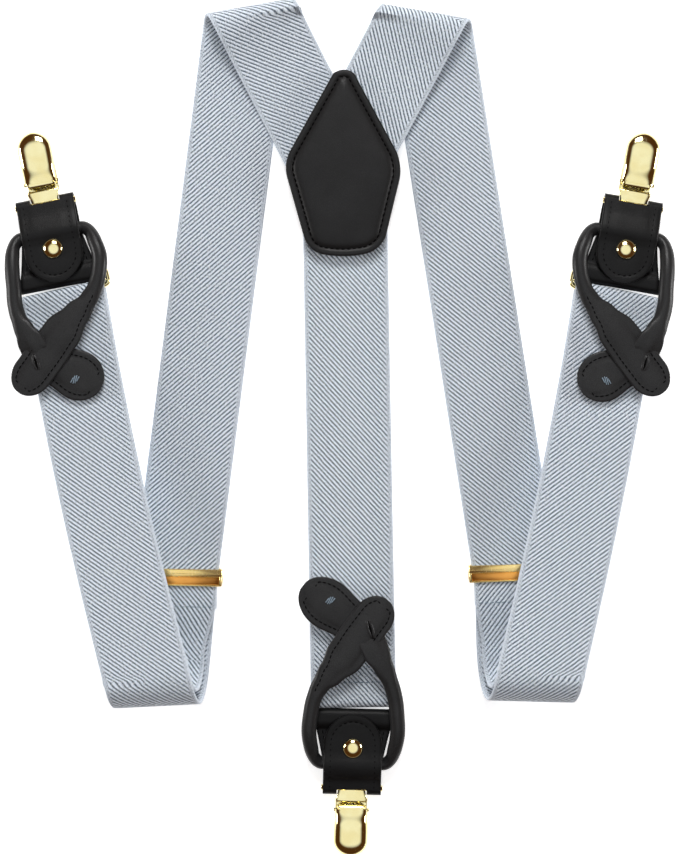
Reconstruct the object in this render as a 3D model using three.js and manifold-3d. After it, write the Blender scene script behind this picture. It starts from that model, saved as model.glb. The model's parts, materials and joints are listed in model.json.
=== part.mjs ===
// Y-back suspenders, 35 mm elastic webbing, laid flat and folded on a table.
// Millimetres, +Z up. The straps lie in the XY plane: the back patch is towards +Y and the back clip
// towards -Y. Every strap is one length of webbing that is folded without stretching.
import * as THREE from 'three';
import { mergeVertices } from 'three/addons/utils/BufferGeometryUtils.js';
import Module from 'manifold-3d';

const wasm = await Module();
wasm.setup();

// ---------- driving dimensions ----------
const WEB_WIDTH = 35;
const WEB_THICK = 1.4;
const GAP = 0.3;
const LEATHER = 1.3;

// heights of the webbing's middle above the table
const REAR_LEG_Z = 1.7;
const TOP_FOLD_R = 4.8;
const BOTTOM_LOOP_R = 10.6;
const RING_WRAP_R = 2.25;
const LAYER_STEP = 2;

// back patch, a kite with rounded corners
const PATCH_CENTRE = [4.6, 105];
const PATCH_THICK = 1.8;
const PATCH_FRONT_Z = 6.6;

// an end's own frame: x across, y outward from the ring's middle, z up
const RING_WIRE = 2.2;
const RING_HALF = [19.2, 3.6];
const RING_PLAY = 0.8;
const END_Z = 5.4;
const CHANNEL_Y = 22.4;
const CORD_R = 2.6;
const TAB_HALF = 12;
const TAB_END_Y = 1.8;
const SNAP_Y = 15.6;
const BAR_R = 1.2;
const PIN_Z = 6.1;
const PIN_R = 0.75;
const CLIP_HALF = 6.8;

// how far out the tab's fold, the clip's crossbar, the flap's bend, the pin and the clip's tip are
function reachOf(tabFold, clipLength) {
  return {
    fold: tabFold,
    bar: tabFold - BAR_R - GAP - LEATHER,
    bend: tabFold - 5,
    pin: tabFold + 6.2,
    tip: tabFold + clipLength,
  };
}

// slide adjuster, measured along and across its strap
const SLIDE_LENGTH = 7;
const SLIDE_HALF = 19.4;
const SLIDE_BAR_Z = 4.95;
const SLIDE_BAR_R = 0.8;
const SLIDE_TOP_Z = 7.35;
const END_WEB_THICK = 1.1;
const STRAP_END_LENGTH = 33.2;
const JOIN_GAP = 1.1;

// ---------- finishes ----------
const webbing = () => new THREE.MeshStandardMaterial({ color: 0xaab4c0, roughness: 0.85 });
const leather = () => new THREE.MeshStandardMaterial({ color: 0x222223, roughness: 0.5 });
const cordLeather = () => new THREE.MeshStandardMaterial({ color: 0x3a3a3b, roughness: 0.42 });
const gold = () => new THREE.MeshStandardMaterial({ color: 0xd0ab4c, roughness: 0.18, metalness: 1 });
const steel = () => new THREE.MeshStandardMaterial({ color: 0xb9bcc0, roughness: 0.3, metalness: 1 });
const rubber = () => new THREE.MeshStandardMaterial({ color: 0x2c2a28, roughness: 0.8 });

const braces = new THREE.Group();

function add(parent, name, geometry, material) {
  const mesh = new THREE.Mesh(geometry, material);
  mesh.name = name;
  parent.add(mesh);
  return mesh;
}

// ---------- small geometry helpers ----------
function merged(geometry) {
  geometry.deleteAttribute('normal');
  geometry.deleteAttribute('uv');
  return mergeVertices(geometry, 1e-5);
}

function toSolid(geometry) {
  const clean = merged(geometry.clone());
  const vertProperties = new Float32Array(clean.attributes.position.array);
  const triVerts = new Uint32Array(clean.index.array);
  return new wasm.Manifold(new wasm.Mesh({ numProp: 3, vertProperties, triVerts }));
}

function toGeometry(solid) {
  const mesh = solid.getMesh();
  const geometry = new THREE.BufferGeometry();
  geometry.setAttribute('position', new THREE.BufferAttribute(mesh.vertProperties, 3));
  geometry.setIndex(new THREE.BufferAttribute(mesh.triVerts, 1));
  return geometry;
}

function joined(...geometries) {
  return toGeometry(geometries.map(toSolid).reduce((whole, piece) => whole.add(piece)));
}

function cut(geometry, ...holes) {
  return toGeometry(holes.map(toSolid).reduce((whole, hole) => whole.subtract(hole), toSolid(geometry)));
}

// a box whose vertices are placed by place(u, v, side): u and v run from 0 to 1, side is -1 or 1
function mappedBox(across, along, place) {
  const geometry = merged(new THREE.BoxGeometry(1, 1, 1, across, along, 1));
  const position = geometry.attributes.position;
  for (let i = 0; i < position.count; i += 1) {
    const side = Math.sign(position.getZ(i));
    const point = place(position.getX(i) + 0.5, position.getY(i) + 0.5, side);
    position.setXYZ(i, point.x, point.y, point.z);
  }
  return geometry;
}

function box(x0, x1, y0, y1, z0, z1) {
  const geometry = new THREE.BoxGeometry(x1 - x0, y1 - y0, z1 - z0);
  return geometry.translate((x0 + x1) / 2, (y0 + y1) / 2, (z0 + z1) / 2);
}

// a rod along x, centred on x = middle
function rod(radius, length, y, z, middle = 0, sides = 16) {
  const geometry = new THREE.CylinderGeometry(radius, radius, length, sides);
  return geometry.rotateZ(Math.PI / 2).translate(middle, y, z);
}

// a tube along a smooth line through points
function tube(points, radius, steps, sides = 10) {
  const section = new THREE.Shape();
  for (let k = 0; k < sides; k += 1) {
    const angle = (2 * Math.PI * k) / sides;
    const x = radius * Math.cos(angle);
    const y = radius * Math.sin(angle);
    if (k === 0) section.moveTo(x, y);
    else section.lineTo(x, y);
  }
  section.closePath();
  const extrudePath = new THREE.CatmullRomCurve3(points.map((p) => new THREE.Vector3(...p)));
  return new THREE.ExtrudeGeometry(section, { steps, extrudePath, bevelEnabled: false });
}

// a shape in the y-z plane, extruded along x from -half to half
function alongX(shape, half, curveSegments = 10) {
  const settings = { depth: 2 * half, bevelEnabled: false, curveSegments };
  const geometry = new THREE.ExtrudeGeometry(shape, settings);
  const turn = new THREE.Matrix4().makeBasis(
    new THREE.Vector3(0, 1, 0),
    new THREE.Vector3(0, 0, 1),
    new THREE.Vector3(1, 0, 0),
  );
  return geometry.applyMatrix4(turn).translate(-half, 0, 0);
}

// ---------- folded webbing ----------
const heading = (degrees) => {
  const angle = THREE.MathUtils.degToRad(degrees);
  return new THREE.Vector2(-Math.sin(angle), Math.cos(angle));
};
const across2 = (direction) => new THREE.Vector2(direction.y, -direction.x);

// The strap starts at start and runs through legs: { length, height, shift, turn }. height and shift
// are functions of how far along the leg it is, from 0 to 1: its height, and how far it lies beside
// the straight line. turn is { to, radius, up }: a fold of that radius onto a new heading, rising or
// dropping by its diameter.
function makeStrapPath(start, firstHeading, legs) {
  const path = [];
  let origin = new THREE.Vector2(...start);
  let direction = heading(firstHeading);
  let begin = 0;
  for (const leg of legs) {
    const sideways = path.length % 2 === 0 ? 1 : -1;
    const normal = across2(direction).multiplyScalar(sideways);
    const shift = leg.shift ?? (() => 0);
    const entry = { ...leg, shift, origin, direction, normal, begin, end: begin + leg.length };
    path.push(entry);
    if (!leg.turn) break;
    const foldPoint = origin.clone().addScaledVector(direction, leg.length);
    foldPoint.addScaledVector(normal, shift(1));
    const next = heading(leg.turn.to);
    let line = direction.clone().add(next);
    if (line.length() < 1e-6) line = normal.clone();
    line.normalize();
    let outward = across2(line);
    if (outward.dot(direction) < 0) outward = outward.negate();
    const bend = Math.PI * leg.turn.radius;
    const run = bend / direction.dot(outward);
    Object.assign(entry, { foldPoint, line, outward, bend, run });
    entry.slant = -normal.dot(outward) / direction.dot(outward);
    origin = foldPoint.clone().addScaledVector(line, direction.dot(line) * run);
    direction = next;
    begin = entry.end + run;
  }
  return path;
}

// height gives a leg's height from its start (0) to its end (1)
function legHeight(leg, along) {
  return leg.height(THREE.MathUtils.clamp((along - leg.begin) / leg.length, 0, 1));
}

// the middle of the webbing at a distance along it and a distance across it
function strapPoint(path, along, across) {
  for (const leg of path) {
    const flat = leg.origin.clone();
    const t = THREE.MathUtils.clamp((along - leg.begin) / leg.length, 0, 1);
    const beside = across + leg.shift(t);
    flat.addScaledVector(leg.direction, along - leg.begin).addScaledVector(leg.normal, beside);
    const past = leg.turn ? flat.clone().sub(leg.foldPoint).dot(leg.outward) : -1;
    if (past <= 0) return new THREE.Vector3(flat.x, flat.y, legHeight(leg, along));
    if (past < leg.bend) {
      const rise = leg.turn.up ? 1 : -1;
      const angle = past / leg.turn.radius;
      const level = flat.addScaledVector(leg.outward, leg.turn.radius * Math.sin(angle) - past);
      const height = leg.height(1) + rise * leg.turn.radius * (1 - Math.cos(angle));
      return new THREE.Vector3(level.x, level.y, height);
    }
  }
  return new THREE.Vector3();
}

// rows of vertices across the strap: each is { along, slant }, closer together in the folds
function strapRows(path, straightStep, bendRows) {
  const rows = [];
  let slantBefore = path[0].startSlant ?? 0;
  path.forEach((leg, index) => {
    const slantAfter = leg.turn ? leg.slant : 0;
    const parts = Math.max(1, Math.round(leg.length / straightStep));
    for (let k = index === 0 ? 0 : 1; k <= parts; k += 1) {
      const t = k / parts;
      rows.push({
        along: leg.begin + leg.length * t,
        slant: THREE.MathUtils.lerp(slantBefore, slantAfter, t),
      });
    }
    if (!leg.turn) return;
    const nextSlant = leg.slant;
    for (let k = 1; k <= bendRows; k += 1) {
      rows.push({ along: leg.end + (leg.run * k) / bendRows, slant: nextSlant });
    }
    slantBefore = nextSlant;
  });
  return rows;
}

function strapGeometry(path, { width, thick, step = 34, bendRows = 8, across = 2 }) {
  const rows = strapRows(path, step, bendRows);
  const tiny = 0.02;
  return mappedBox(across, rows.length - 1, (u, v, side) => {
    const row = rows[Math.round(v * (rows.length - 1))];
    const offset = (u - 0.5) * width;
    const along = row.along + row.slant * offset;
    const here = strapPoint(path, along, offset);
    const ahead = strapPoint(path, along + tiny, offset).sub(strapPoint(path, along - tiny, offset));
    const aside = strapPoint(path, along, offset + tiny).sub(strapPoint(path, along, offset - tiny));
    const up = aside.cross(ahead).normalize();
    return here.addScaledVector(up, (side * thick) / 2);
  });
}

// ---------- one elastic strap with its adjuster, on the side given by sign (-1 left, 1 right) ----------
const FRONT_TOP_Z = REAR_LEG_Z + 2 * BOTTOM_LOOP_R;
const INNER_LOOP_R = BOTTOM_LOOP_R - LAYER_STEP;
const RING_TOP_Z = END_Z + RING_WRAP_R;
const RING_LOW_Z = END_Z - RING_WRAP_R;

// where each side's strap starts in the patch, the way each leg heads, and the legs' lengths
const sides = {
  left: {
    start: [-2.2, 110.3],
    patchZ: 3.1,
    vLean: 27.4,
    rearLean: 172.75,
    frontLean: 12.9,
    endLean: 11,
    slideLean: -1,
    sway: 1.2,
    bow: -2.2,
    lengths: [62.4, 272.5, 161.6, 158.4],
    mirror: 1,
  },
  right: {
    start: [5.6, 107.6],
    patchZ: 4.9,
    vLean: -28.2,
    rearLean: -171.1,
    frontLean: -12,
    endLean: -10,
    slideLean: 2,
    sway: -4,
    bow: 1.8,
    lengths: [63.4, 269, 158.6, 155.6],
    mirror: -1,
  },
};

const level = (z) => () => z;
const frontHeight = (t) => RING_TOP_Z + (FRONT_TOP_Z - RING_TOP_Z) * t ** 1.8;
const returnHeight = (t) => {
  const settled = THREE.MathUtils.smoothstep(t, 0, 0.2);
  return frontHeight(t) - THREE.MathUtils.lerp(2 * RING_WRAP_R, LAYER_STEP, settled);
};

function strapLegs(side) {
  const rise = REAR_LEG_Z + 2 * TOP_FOLD_R - side.patchZ;
  const [vLength, rearLength, frontLength, returnLength] = side.lengths;
  return [
    {
      length: vLength,
      height: (t) => side.patchZ + rise * t ** 4,
      turn: { to: side.rearLean, radius: TOP_FOLD_R, up: false },
    },
    {
      length: rearLength,
      height: level(REAR_LEG_Z),
      shift: (t) => side.sway * THREE.MathUtils.smoothstep(t, 0.84, 1),
      turn: { to: side.frontLean, radius: BOTTOM_LOOP_R, up: true },
    },
    {
      length: frontLength,
      height: (t) => frontHeight(1 - t),
      shift: (t) => side.bow * Math.sin(Math.PI * t),
      turn: { to: side.frontLean + 180, radius: RING_WRAP_R, up: false },
    },
    {
      length: returnLength,
      height: returnHeight,
      shift: (t) => side.bow * Math.sin(Math.PI * t),
      turn: { to: side.rearLean + 180, radius: INNER_LOOP_R, up: false },
    },
    { length: 4, height: level(REAR_LEG_Z + LAYER_STEP) },
  ];
}

// the slide's own frame: x across the rear leg, y up along it, z up, origin on the table
function makeAdjuster(parent, name, tail, startSlant) {
  const cheek = 1.1;
  const inside = SLIDE_HALF - cheek;
  const half = SLIDE_LENGTH / 2;
  const frame = joined(
    box(-SLIDE_HALF, SLIDE_HALF, -half, half, 0.1, 0.7),
    box(-SLIDE_HALF, -inside, -half, half, 0.1, SLIDE_TOP_Z + 0.5),
    box(inside, SLIDE_HALF, -half, half, 0.1, SLIDE_TOP_Z + 0.5),
    box(-SLIDE_HALF, SLIDE_HALF, -half, half, SLIDE_TOP_Z, SLIDE_TOP_Z + 0.5),
    box(-SLIDE_HALF, SLIDE_HALF, 0.1, half, SLIDE_TOP_Z, SLIDE_TOP_Z + 1.1),
    box(-SLIDE_HALF, SLIDE_HALF, -half, -half + 0.7, SLIDE_TOP_Z, SLIDE_TOP_Z + 0.9),
  );
  const barHole = rod(SLIDE_BAR_R + 0.15, 2 * SLIDE_HALF + 2, 0, SLIDE_BAR_Z);
  add(parent, `adjuster_frame_${name}`, cut(frame, barHole), gold());
  add(parent, `adjuster_bar_${name}`, rod(SLIDE_BAR_R, 2 * SLIDE_HALF - 0.6, 0, SLIDE_BAR_Z), gold());

  // The webbing's end comes up from the loop, tail to one side and cut on a slant where it starts. It
  // passes over the bar, turns under it and is sewn down.
  const wrap = SLIDE_BAR_R + GAP / 2 + END_WEB_THICK / 2;
  const low = REAR_LEG_Z + LAYER_STEP + 0.05;
  const climb = SLIDE_BAR_Z + wrap - low;
  const upper = {
    startSlant,
    length: STRAP_END_LENGTH,
    height: (t) => low + climb * THREE.MathUtils.smoothstep(t, 0.1, 0.7),
    shift: (t) => tail * (1 - THREE.MathUtils.smoothstep(t, 0, 0.75)),
    turn: { to: 180, radius: wrap, up: false },
  };
  const lower = { length: 13, height: level(SLIDE_BAR_Z - wrap) };
  const path = makeStrapPath([0, -STRAP_END_LENGTH], 0, [upper, lower]);
  const shape = { width: WEB_WIDTH - 0.4, thick: END_WEB_THICK, step: 4, bendRows: 6, across: 1 };
  add(parent, `strap_end_${name}`, strapGeometry(path, shape), webbing());
}

// ---------- the hardware on one strap end ----------
function ringGeometry() {
  const sidesRound = 7;
  const steps = 32;
  const mean = 10;
  const squareness = 0.3;
  const geometry = merged(new THREE.TorusGeometry(mean, RING_WIRE / 2, sidesRound, steps));
  const position = geometry.attributes.position;
  const bent = (value, size) => size * Math.sign(value) * Math.abs(value) ** squareness;
  const middle = (angle) => new THREE.Vector2(
    bent(Math.cos(angle), RING_HALF[0]),
    bent(Math.sin(angle), RING_HALF[1]),
  );
  for (let i = 0; i < position.count; i += 1) {
    const x = position.getX(i);
    const y = position.getY(i);
    const angle = Math.atan2(y, x);
    const offset = Math.hypot(x, y) - mean;
    const ahead = middle(angle + 0.05).sub(middle(angle - 0.05)).normalize();
    const point = middle(angle).addScaledVector(across2(ahead), offset);
    position.setXY(i, point.x, point.y);
  }
  return geometry.translate(0, 0, END_Z);
}

// the leather holder: sewn double, open round the ring's outer bar and round the rolled loop
function holderGeometry() {
  const barY = RING_HALF[1];
  const inner = RING_WIRE / 2 + GAP;
  const outer = inner + LEATHER;
  const flat = LEATHER + 0.1;
  const channel = CORD_R + 0.3;
  const bulge = CORD_R + 1.3;
  const nearY = barY - RING_PLAY;
  const farY = barY + RING_PLAY;
  const shape = new THREE.Shape();
  shape.moveTo(nearY, END_Z - outer);
  shape.lineTo(farY, END_Z - outer);
  shape.quadraticCurveTo(barY + 2.8, END_Z - outer, barY + 4.5, END_Z - flat);
  shape.lineTo(CHANNEL_Y - 7, END_Z - flat);
  shape.quadraticCurveTo(CHANNEL_Y - 4, END_Z - flat, CHANNEL_Y - 2.6, END_Z - 2.9);
  shape.absarc(CHANNEL_Y, END_Z, bulge, Math.PI + 0.84, 3 * Math.PI - 0.84, false);
  shape.quadraticCurveTo(CHANNEL_Y - 4, END_Z + flat, CHANNEL_Y - 7, END_Z + flat);
  shape.lineTo(barY + 4.5, END_Z + flat);
  shape.quadraticCurveTo(barY + 2.8, END_Z + outer, farY, END_Z + outer);
  shape.lineTo(nearY, END_Z + outer);
  shape.absarc(nearY, END_Z, outer, Math.PI / 2, (3 * Math.PI) / 2, false);
  const ringHole = new THREE.Path();
  ringHole.moveTo(farY, END_Z + inner);
  ringHole.absarc(farY, END_Z, inner, Math.PI / 2, -Math.PI / 2, true);
  ringHole.absarc(nearY, END_Z, inner, -Math.PI / 2, -1.5 * Math.PI, true);
  ringHole.closePath();
  const cordHole = new THREE.Path();
  cordHole.absarc(CHANNEL_Y, END_Z, channel, 0, 2 * Math.PI, true);
  shape.holes.push(ringHole, cordHole);
  const wide = 17;
  const narrow = 11.2;
  const geometry = alongX(shape, wide, 7);
  const position = geometry.attributes.position;
  for (let i = 0; i < position.count; i += 1) {
    const t = position.getY(i) / (CHANNEL_Y + bulge);
    const half = THREE.MathUtils.lerp(wide, narrow, t);
    position.setX(i, (position.getX(i) * half) / wide);
  }
  return geometry;
}

// the rolled leather loop: a cord through the holder, opened flat at both ends into crossing ears
function loopGeometry(lean, drop) {
  const warp = ([x, y, z]) => {
    const below = Math.max(0, 6 - y);
    return [x + Math.tan(lean) * below * drop, y + below * (1 - drop), z];
  };
  const arm = (side) => [
    [side * 17.7, 15.8, 8.6],
    [side * 18.2, 9, 10.4],
    [side * 17.7, 2, 11.1],
    [side * 16.4, -6, 11.4],
    [side * 14, -14, 11.5],
  ];
  const corner = (side) => [
    [side * 8, CHANNEL_Y, END_Z],
    [side * 12.9, CHANNEL_Y, END_Z],
    [side * 16, 20.2, 6.4],
  ];
  const cord = tube([
    ...arm(-1).map(warp).reverse(),
    ...corner(-1).reverse(),
    ...corner(1),
    ...arm(1).map(warp),
  ], CORD_R, 40, 8);

  // a flat strip along a line, its half width going from narrow to the ear's round end
  const strip = (line, widths, z) => {
    const curve = new THREE.CatmullRomCurve3(line.map((p) => new THREE.Vector3(...warp([...p, 0]))));
    const last = widths.length - 1;
    return mappedBox(2, 14, (u, v, side) => {
      const tip = Math.sqrt(Math.max(0.04, 1 - Math.max(0, (v - 0.8) / 0.2) ** 2));
      const at = v * last;
      const k = Math.min(last - 1, Math.floor(at));
      const half = THREE.MathUtils.lerp(widths[k], widths[k + 1], at - k) * tip;
      const centre = curve.getPoint(v);
      const ahead = curve.getTangent(v);
      const sideways = new THREE.Vector3(ahead.y, -ahead.x, 0).normalize();
      const height = z(v) + side * 0.95;
      centre.addScaledVector(sideways, (u - 0.5) * 2 * half);
      return new THREE.Vector3(centre.x, centre.y, height);
    });
  };
  const front = strip(
    [[15.6, -8], [12, -13.6], [6.4, -20.8], [-0.6, -30], [-7.6, -38.8], [-13.6, -45.6]],
    [2.4, 4.4, 6.6, 8, 8.2, 8.2],
    (v) => 11.6 + 2.1 * Math.min(1, v * 2),
  );
  const rear = strip(
    [[-15.4, -9], [-12.4, -17.5], [-8.4, -25.6], [-2.4, -33.6], [8, -41.4], [21.6, -50.9]],
    [2.2, 3.4, 4.2, 6.4, 10, 10],
    (v) => 13.8 - 2.1 * THREE.MathUtils.smoothstep(v, 0.45, 0.72),
  );
  return joined(cord, front, rear);
}

const FLAP_SNAP_Z = 3.8;

// the clip tab's flap: lies over the holder's bulge, snapped at its round end
const flapMiddle = (bend) => new THREE.CatmullRomCurve3([
  new THREE.Vector3(0, bend, END_Z + 2.2),
  new THREE.Vector3(0, 27.2, END_Z + 3.9),
  new THREE.Vector3(0, CHANNEL_Y, END_Z + 4.85),
  new THREE.Vector3(0, 19.6, END_Z + 4.25),
  new THREE.Vector3(0, 17.6, END_Z + 3.85),
  new THREE.Vector3(0, SNAP_Y, END_Z + FLAP_SNAP_Z),
  new THREE.Vector3(0, 12, END_Z + 3.8),
  new THREE.Vector3(0, 7, END_Z + 3.9),
  new THREE.Vector3(0, TAB_END_Y, END_Z + 4.1),
]);

function flapGeometry(reach) {
  const middle = flapMiddle(reach.bend);
  return mappedBox(2, 18, (u, v, side) => {
    const centre = middle.getPoint(v);
    const ahead = middle.getTangent(v);
    const up = new THREE.Vector3(0, ahead.z, -ahead.y);
    const roundness = (TAB_END_Y + TAB_HALF - centre.y) / TAB_HALF;
    const half = TAB_HALF * Math.sqrt(Math.max(0.05, 1 - Math.max(0, roundness) ** 2));
    return centre.addScaledVector(up, (side * LEATHER) / 2).setX((0.5 - u) * 2 * half);
  });
}

// the tab's sewn back and its turn round the clip's crossbar
function tabGeometry(reach) {
  const barY = reach.bar;
  const inner = BAR_R + GAP;
  const outer = inner + LEATHER;
  const shape = new THREE.Shape();
  shape.moveTo(9, 0.15);
  shape.lineTo(barY - 5, 0.15);
  shape.quadraticCurveTo(barY - 2.5, 0.3, barY, END_Z - outer);
  shape.absarc(barY, END_Z, outer, -Math.PI / 2, Math.PI / 2, false);
  shape.lineTo(reach.bend + 0.9, END_Z + outer);
  shape.lineTo(reach.bend + 0.9, END_Z + inner);
  shape.lineTo(barY, END_Z + inner);
  shape.absarc(barY, END_Z, inner, Math.PI / 2, -Math.PI / 2, true);
  shape.quadraticCurveTo(barY - 2.5, 1.6, barY - 5, 1.35);
  shape.lineTo(9, 1.35);
  shape.closePath();
  const slot = box(-6.2, 6.2, barY + 0.4, reach.fold + 1, END_Z - 1.9, END_Z + 0.9);
  return cut(alongX(shape, TAB_HALF, 8), slot);
}

// ---------- the metal clip ----------
function clipBaseGeometry(reach) {
  const plate = mappedBox(4, 10, (u, v, side) => {
    const y = THREE.MathUtils.lerp(reach.pin - 3.2, reach.tip - 0.6, v);
    const tip = Math.sqrt(Math.max(0.12, 1 - Math.max(0, (v - 0.7) / 0.3) ** 2));
    return new THREE.Vector3((u - 0.5) * 2 * (CLIP_HALF - 0.3) * tip, y, 2.1 + side * 0.4);
  });
  const neck = mappedBox(1, 6, (u, v, side) => {
    const y = THREE.MathUtils.lerp(reach.bar, reach.pin - 2.4, v);
    const drop = THREE.MathUtils.smoothstep(v, 0.35, 1);
    const half = THREE.MathUtils.lerp(5.9, 6.5, Math.abs(v - 0.6));
    const z = THREE.MathUtils.lerp(END_Z - 0.5, 2.1, drop);
    return new THREE.Vector3((u - 0.5) * 2 * half, y, z + side * 0.5);
  });
  const cheek = (side) => {
    const inside = side * 6.1;
    const outside = side * 6.9;
    const [x0, x1] = [Math.min(inside, outside), Math.max(inside, outside)];
    return box(x0, x1, reach.pin - 2.2, reach.pin + 1.7, 1.8, PIN_Z + 1.5);
  };
  const whole = joined(plate, neck, rod(BAR_R, 25.2, reach.bar, END_Z, 0, 12), cheek(-1), cheek(1));
  return cut(whole, rod(PIN_R + 0.15, 30, reach.pin, PIN_Z));
}

// the lever is a pressed cover, domed across and closed down at its tip
function leverGeometry(reach) {
  const cover = mappedBox(8, 9, (u, v, side) => {
    const y = THREE.MathUtils.lerp(reach.pin - 0.4, reach.tip, v);
    const skin = side > 0 ? 0 : 0.8;
    const tip = Math.sqrt(Math.max(0.06, 1 - Math.max(0, (v - 0.72) / 0.28) ** 2));
    const waist = THREE.MathUtils.lerp(0.82, 1, THREE.MathUtils.smoothstep(v, 0.16, 0.4));
    const half = (CLIP_HALF + 0.2) * tip * waist - skin;
    const rise = THREE.MathUtils.lerp(3, 4.2, THREE.MathUtils.smoothstep(v, 0, 0.35)) * tip - skin * 0.9;
    const angle = (u - 0.5) * Math.PI * 0.96;
    return new THREE.Vector3(half * Math.sin(angle), y - skin * 0.4 * v, 6.2 + rise * Math.cos(angle));
  });
  const lug = (side) => {
    const plate = box(-0.5, 0.5, reach.pin - 1.3, reach.pin + 2.6, PIN_Z - 1.2, PIN_Z + 1.4);
    return plate.translate(side * 4.7, 0, 0);
  };
  return cut(joined(cover, lug(-1), lug(1)), rod(PIN_R + 0.12, 30, reach.pin, PIN_Z));
}

function jawGeometry(reach) {
  const plate = box(-5.2, 5.2, reach.pin + 3.3, reach.tip - 2.6, 4.1, 4.9);
  const neck = box(-3.85, 3.85, reach.pin + 1, reach.pin + 3.4, 4.1, 4.9);
  const lug = (side) => {
    const ear = box(-0.45, 0.45, reach.pin - 1.2, reach.pin + 2.2, 4.1, PIN_Z + 0.95);
    return ear.translate(side * 3.4, 0, 0);
  };
  const teeth = [];
  const toothCount = 5;
  for (let k = 0; k < toothCount; k += 1) {
    const x = (k - (toothCount - 1) / 2) * 2.1;
    teeth.push(box(x - 0.6, x + 0.6, reach.tip - 3.4, reach.tip - 2.6, 3.5, 4.5));
  }
  return cut(joined(plate, neck, lug(-1), lug(1), ...teeth), rod(PIN_R + 0.12, 30, reach.pin, PIN_Z));
}

// a torsion spring: four close turns on the pin with a leg under the cover
function springGeometry(reach) {
  const turns = 3.5;
  const wire = 0.32;
  const radius = PIN_R + 0.25 + wire;
  const points = [];
  const count = 36;
  for (let k = 0; k <= count; k += 1) {
    const angle = (2 * Math.PI * turns * k) / count;
    const x = -2.1 + (4.2 * k) / count;
    points.push([x, reach.pin + radius * Math.cos(angle), PIN_Z + radius * Math.sin(angle)]);
  }
  return tube(points, wire, 36, 5);
}

function snapCapGeometry() {
  const underside = [[0, -0.6], [1.6, -0.6], [1.6, 0.2], [4, 0.3]];
  const profile = [...underside, [4.05, 0.7], [3.4, 1.5], [2, 2.05], [0, 2.25]];
  const points = profile.map(([r, z]) => new THREE.Vector2(r, z));
  const cap = new THREE.LatheGeometry(points, 16).rotateX(Math.PI / 2);
  return cap.translate(0, SNAP_Y, END_Z + FLAP_SNAP_Z + LEATHER / 2 + 0.25);
}

function snapStudGeometry() {
  const top = END_Z + LEATHER + 0.1;
  const profile = [[0, 0.1], [2.1, 0.1], [2.1, 0.4], [1.2, 0.5], [1.2, 0.9], [0, 0.95]];
  const points = profile.map(([r, z]) => new THREE.Vector2(r, z + 0.25));
  return new THREE.LatheGeometry(points, 12).rotateX(Math.PI / 2).translate(0, SNAP_Y, top);
}

// faces of a mirrored geometry are turned round again so that they point out
function mirrored(geometry) {
  const flipped = geometry.index ? geometry.toNonIndexed() : geometry.clone();
  const position = flipped.attributes.position;
  for (let i = 0; i < position.count; i += 3) {
    const corner = [0, 1, 2].map((k) => new THREE.Vector3().fromBufferAttribute(position, i + k));
    [corner[0], corner[2], corner[1]].forEach((p, k) => position.setXYZ(i + k, -p.x, p.y, p.z));
  }
  return flipped;
}

function makeEnd(name, { place, turn, ringTurn, lean, drop, hand, reach }) {
  const end = new THREE.Group();
  end.position.set(place[0], place[1], 0);
  end.rotation.z = THREE.MathUtils.degToRad(turn);
  braces.add(end);
  const loop = loopGeometry(THREE.MathUtils.degToRad(lean), drop);
  const flapHole = rod(1.9, 3, 0, 0).rotateY(Math.PI / 2).translate(0, SNAP_Y, END_Z + FLAP_SNAP_Z);
  const ring = add(end, `strap_ring_${name}`, ringGeometry(), gold());
  ring.rotation.z = THREE.MathUtils.degToRad(ringTurn - turn);
  add(end, `holder_${name}`, holderGeometry(), leather());
  add(end, `button_loop_${name}`, hand > 0 ? loop : mirrored(loop), cordLeather());
  add(end, `clip_tab_${name}`, tabGeometry(reach), leather());
  add(end, `tab_flap_${name}`, cut(flapGeometry(reach), flapHole), leather());
  add(end, `snap_cap_${name}`, snapCapGeometry(), gold());
  add(end, `snap_stud_${name}`, snapStudGeometry(), gold());
  add(end, `clip_base_${name}`, clipBaseGeometry(reach), gold());
  add(end, `clip_lever_${name}`, leverGeometry(reach), gold());
  add(end, `clip_jaw_${name}`, jawGeometry(reach), gold());
  add(end, `hinge_pin_${name}`, rod(PIN_R, 14.4, reach.pin, PIN_Z, 0, 12), gold());
  add(end, `clip_spring_${name}`, springGeometry(reach), steel());
  const pad = box(-4.6, 4.6, reach.pin + 6, reach.tip - 3.8, 2.8, 3.3);
  add(end, `grip_pad_${name}`, pad, rubber());
}

// ---------- back patch ----------
function patchGeometry(z0, z1) {
  const shape = new THREE.Shape();
  const wide = 23.6;
  const top = 39.4;
  const bottom = -37.4;
  shape.moveTo(-4, top - 1.6);
  shape.quadraticCurveTo(0.6, top + 1.4, 4.6, top - 1.8);
  shape.lineTo(wide - 1.4, 5.2);
  shape.quadraticCurveTo(wide + 0.6, -0.8, wide - 0.2, -5.4);
  shape.lineTo(17.6, bottom + 8);
  shape.quadraticCurveTo(15, bottom + 2.2, 8.6, bottom + 0.7);
  shape.quadraticCurveTo(0, bottom - 0.9, -8.8, bottom + 0.7);
  shape.quadraticCurveTo(-14.4, bottom + 2.2, -16.2, bottom + 8);
  shape.lineTo(-wide + 0.2, -3.8);
  shape.quadraticCurveTo(-wide - 0.6, 0.4, -wide + 1.4, 5.2);
  shape.closePath();
  const options = { depth: z1 - z0, bevelEnabled: false, curveSegments: 6 };
  const geometry = new THREE.ExtrudeGeometry(shape, options);
  return geometry.translate(PATCH_CENTRE[0], PATCH_CENTRE[1], z0);
}

add(braces, 'back_patch_rear', patchGeometry(0, PATCH_THICK), leather());
add(braces, 'back_patch_front', patchGeometry(PATCH_FRONT_Z, PATCH_FRONT_Z + PATCH_THICK), leather());

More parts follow.
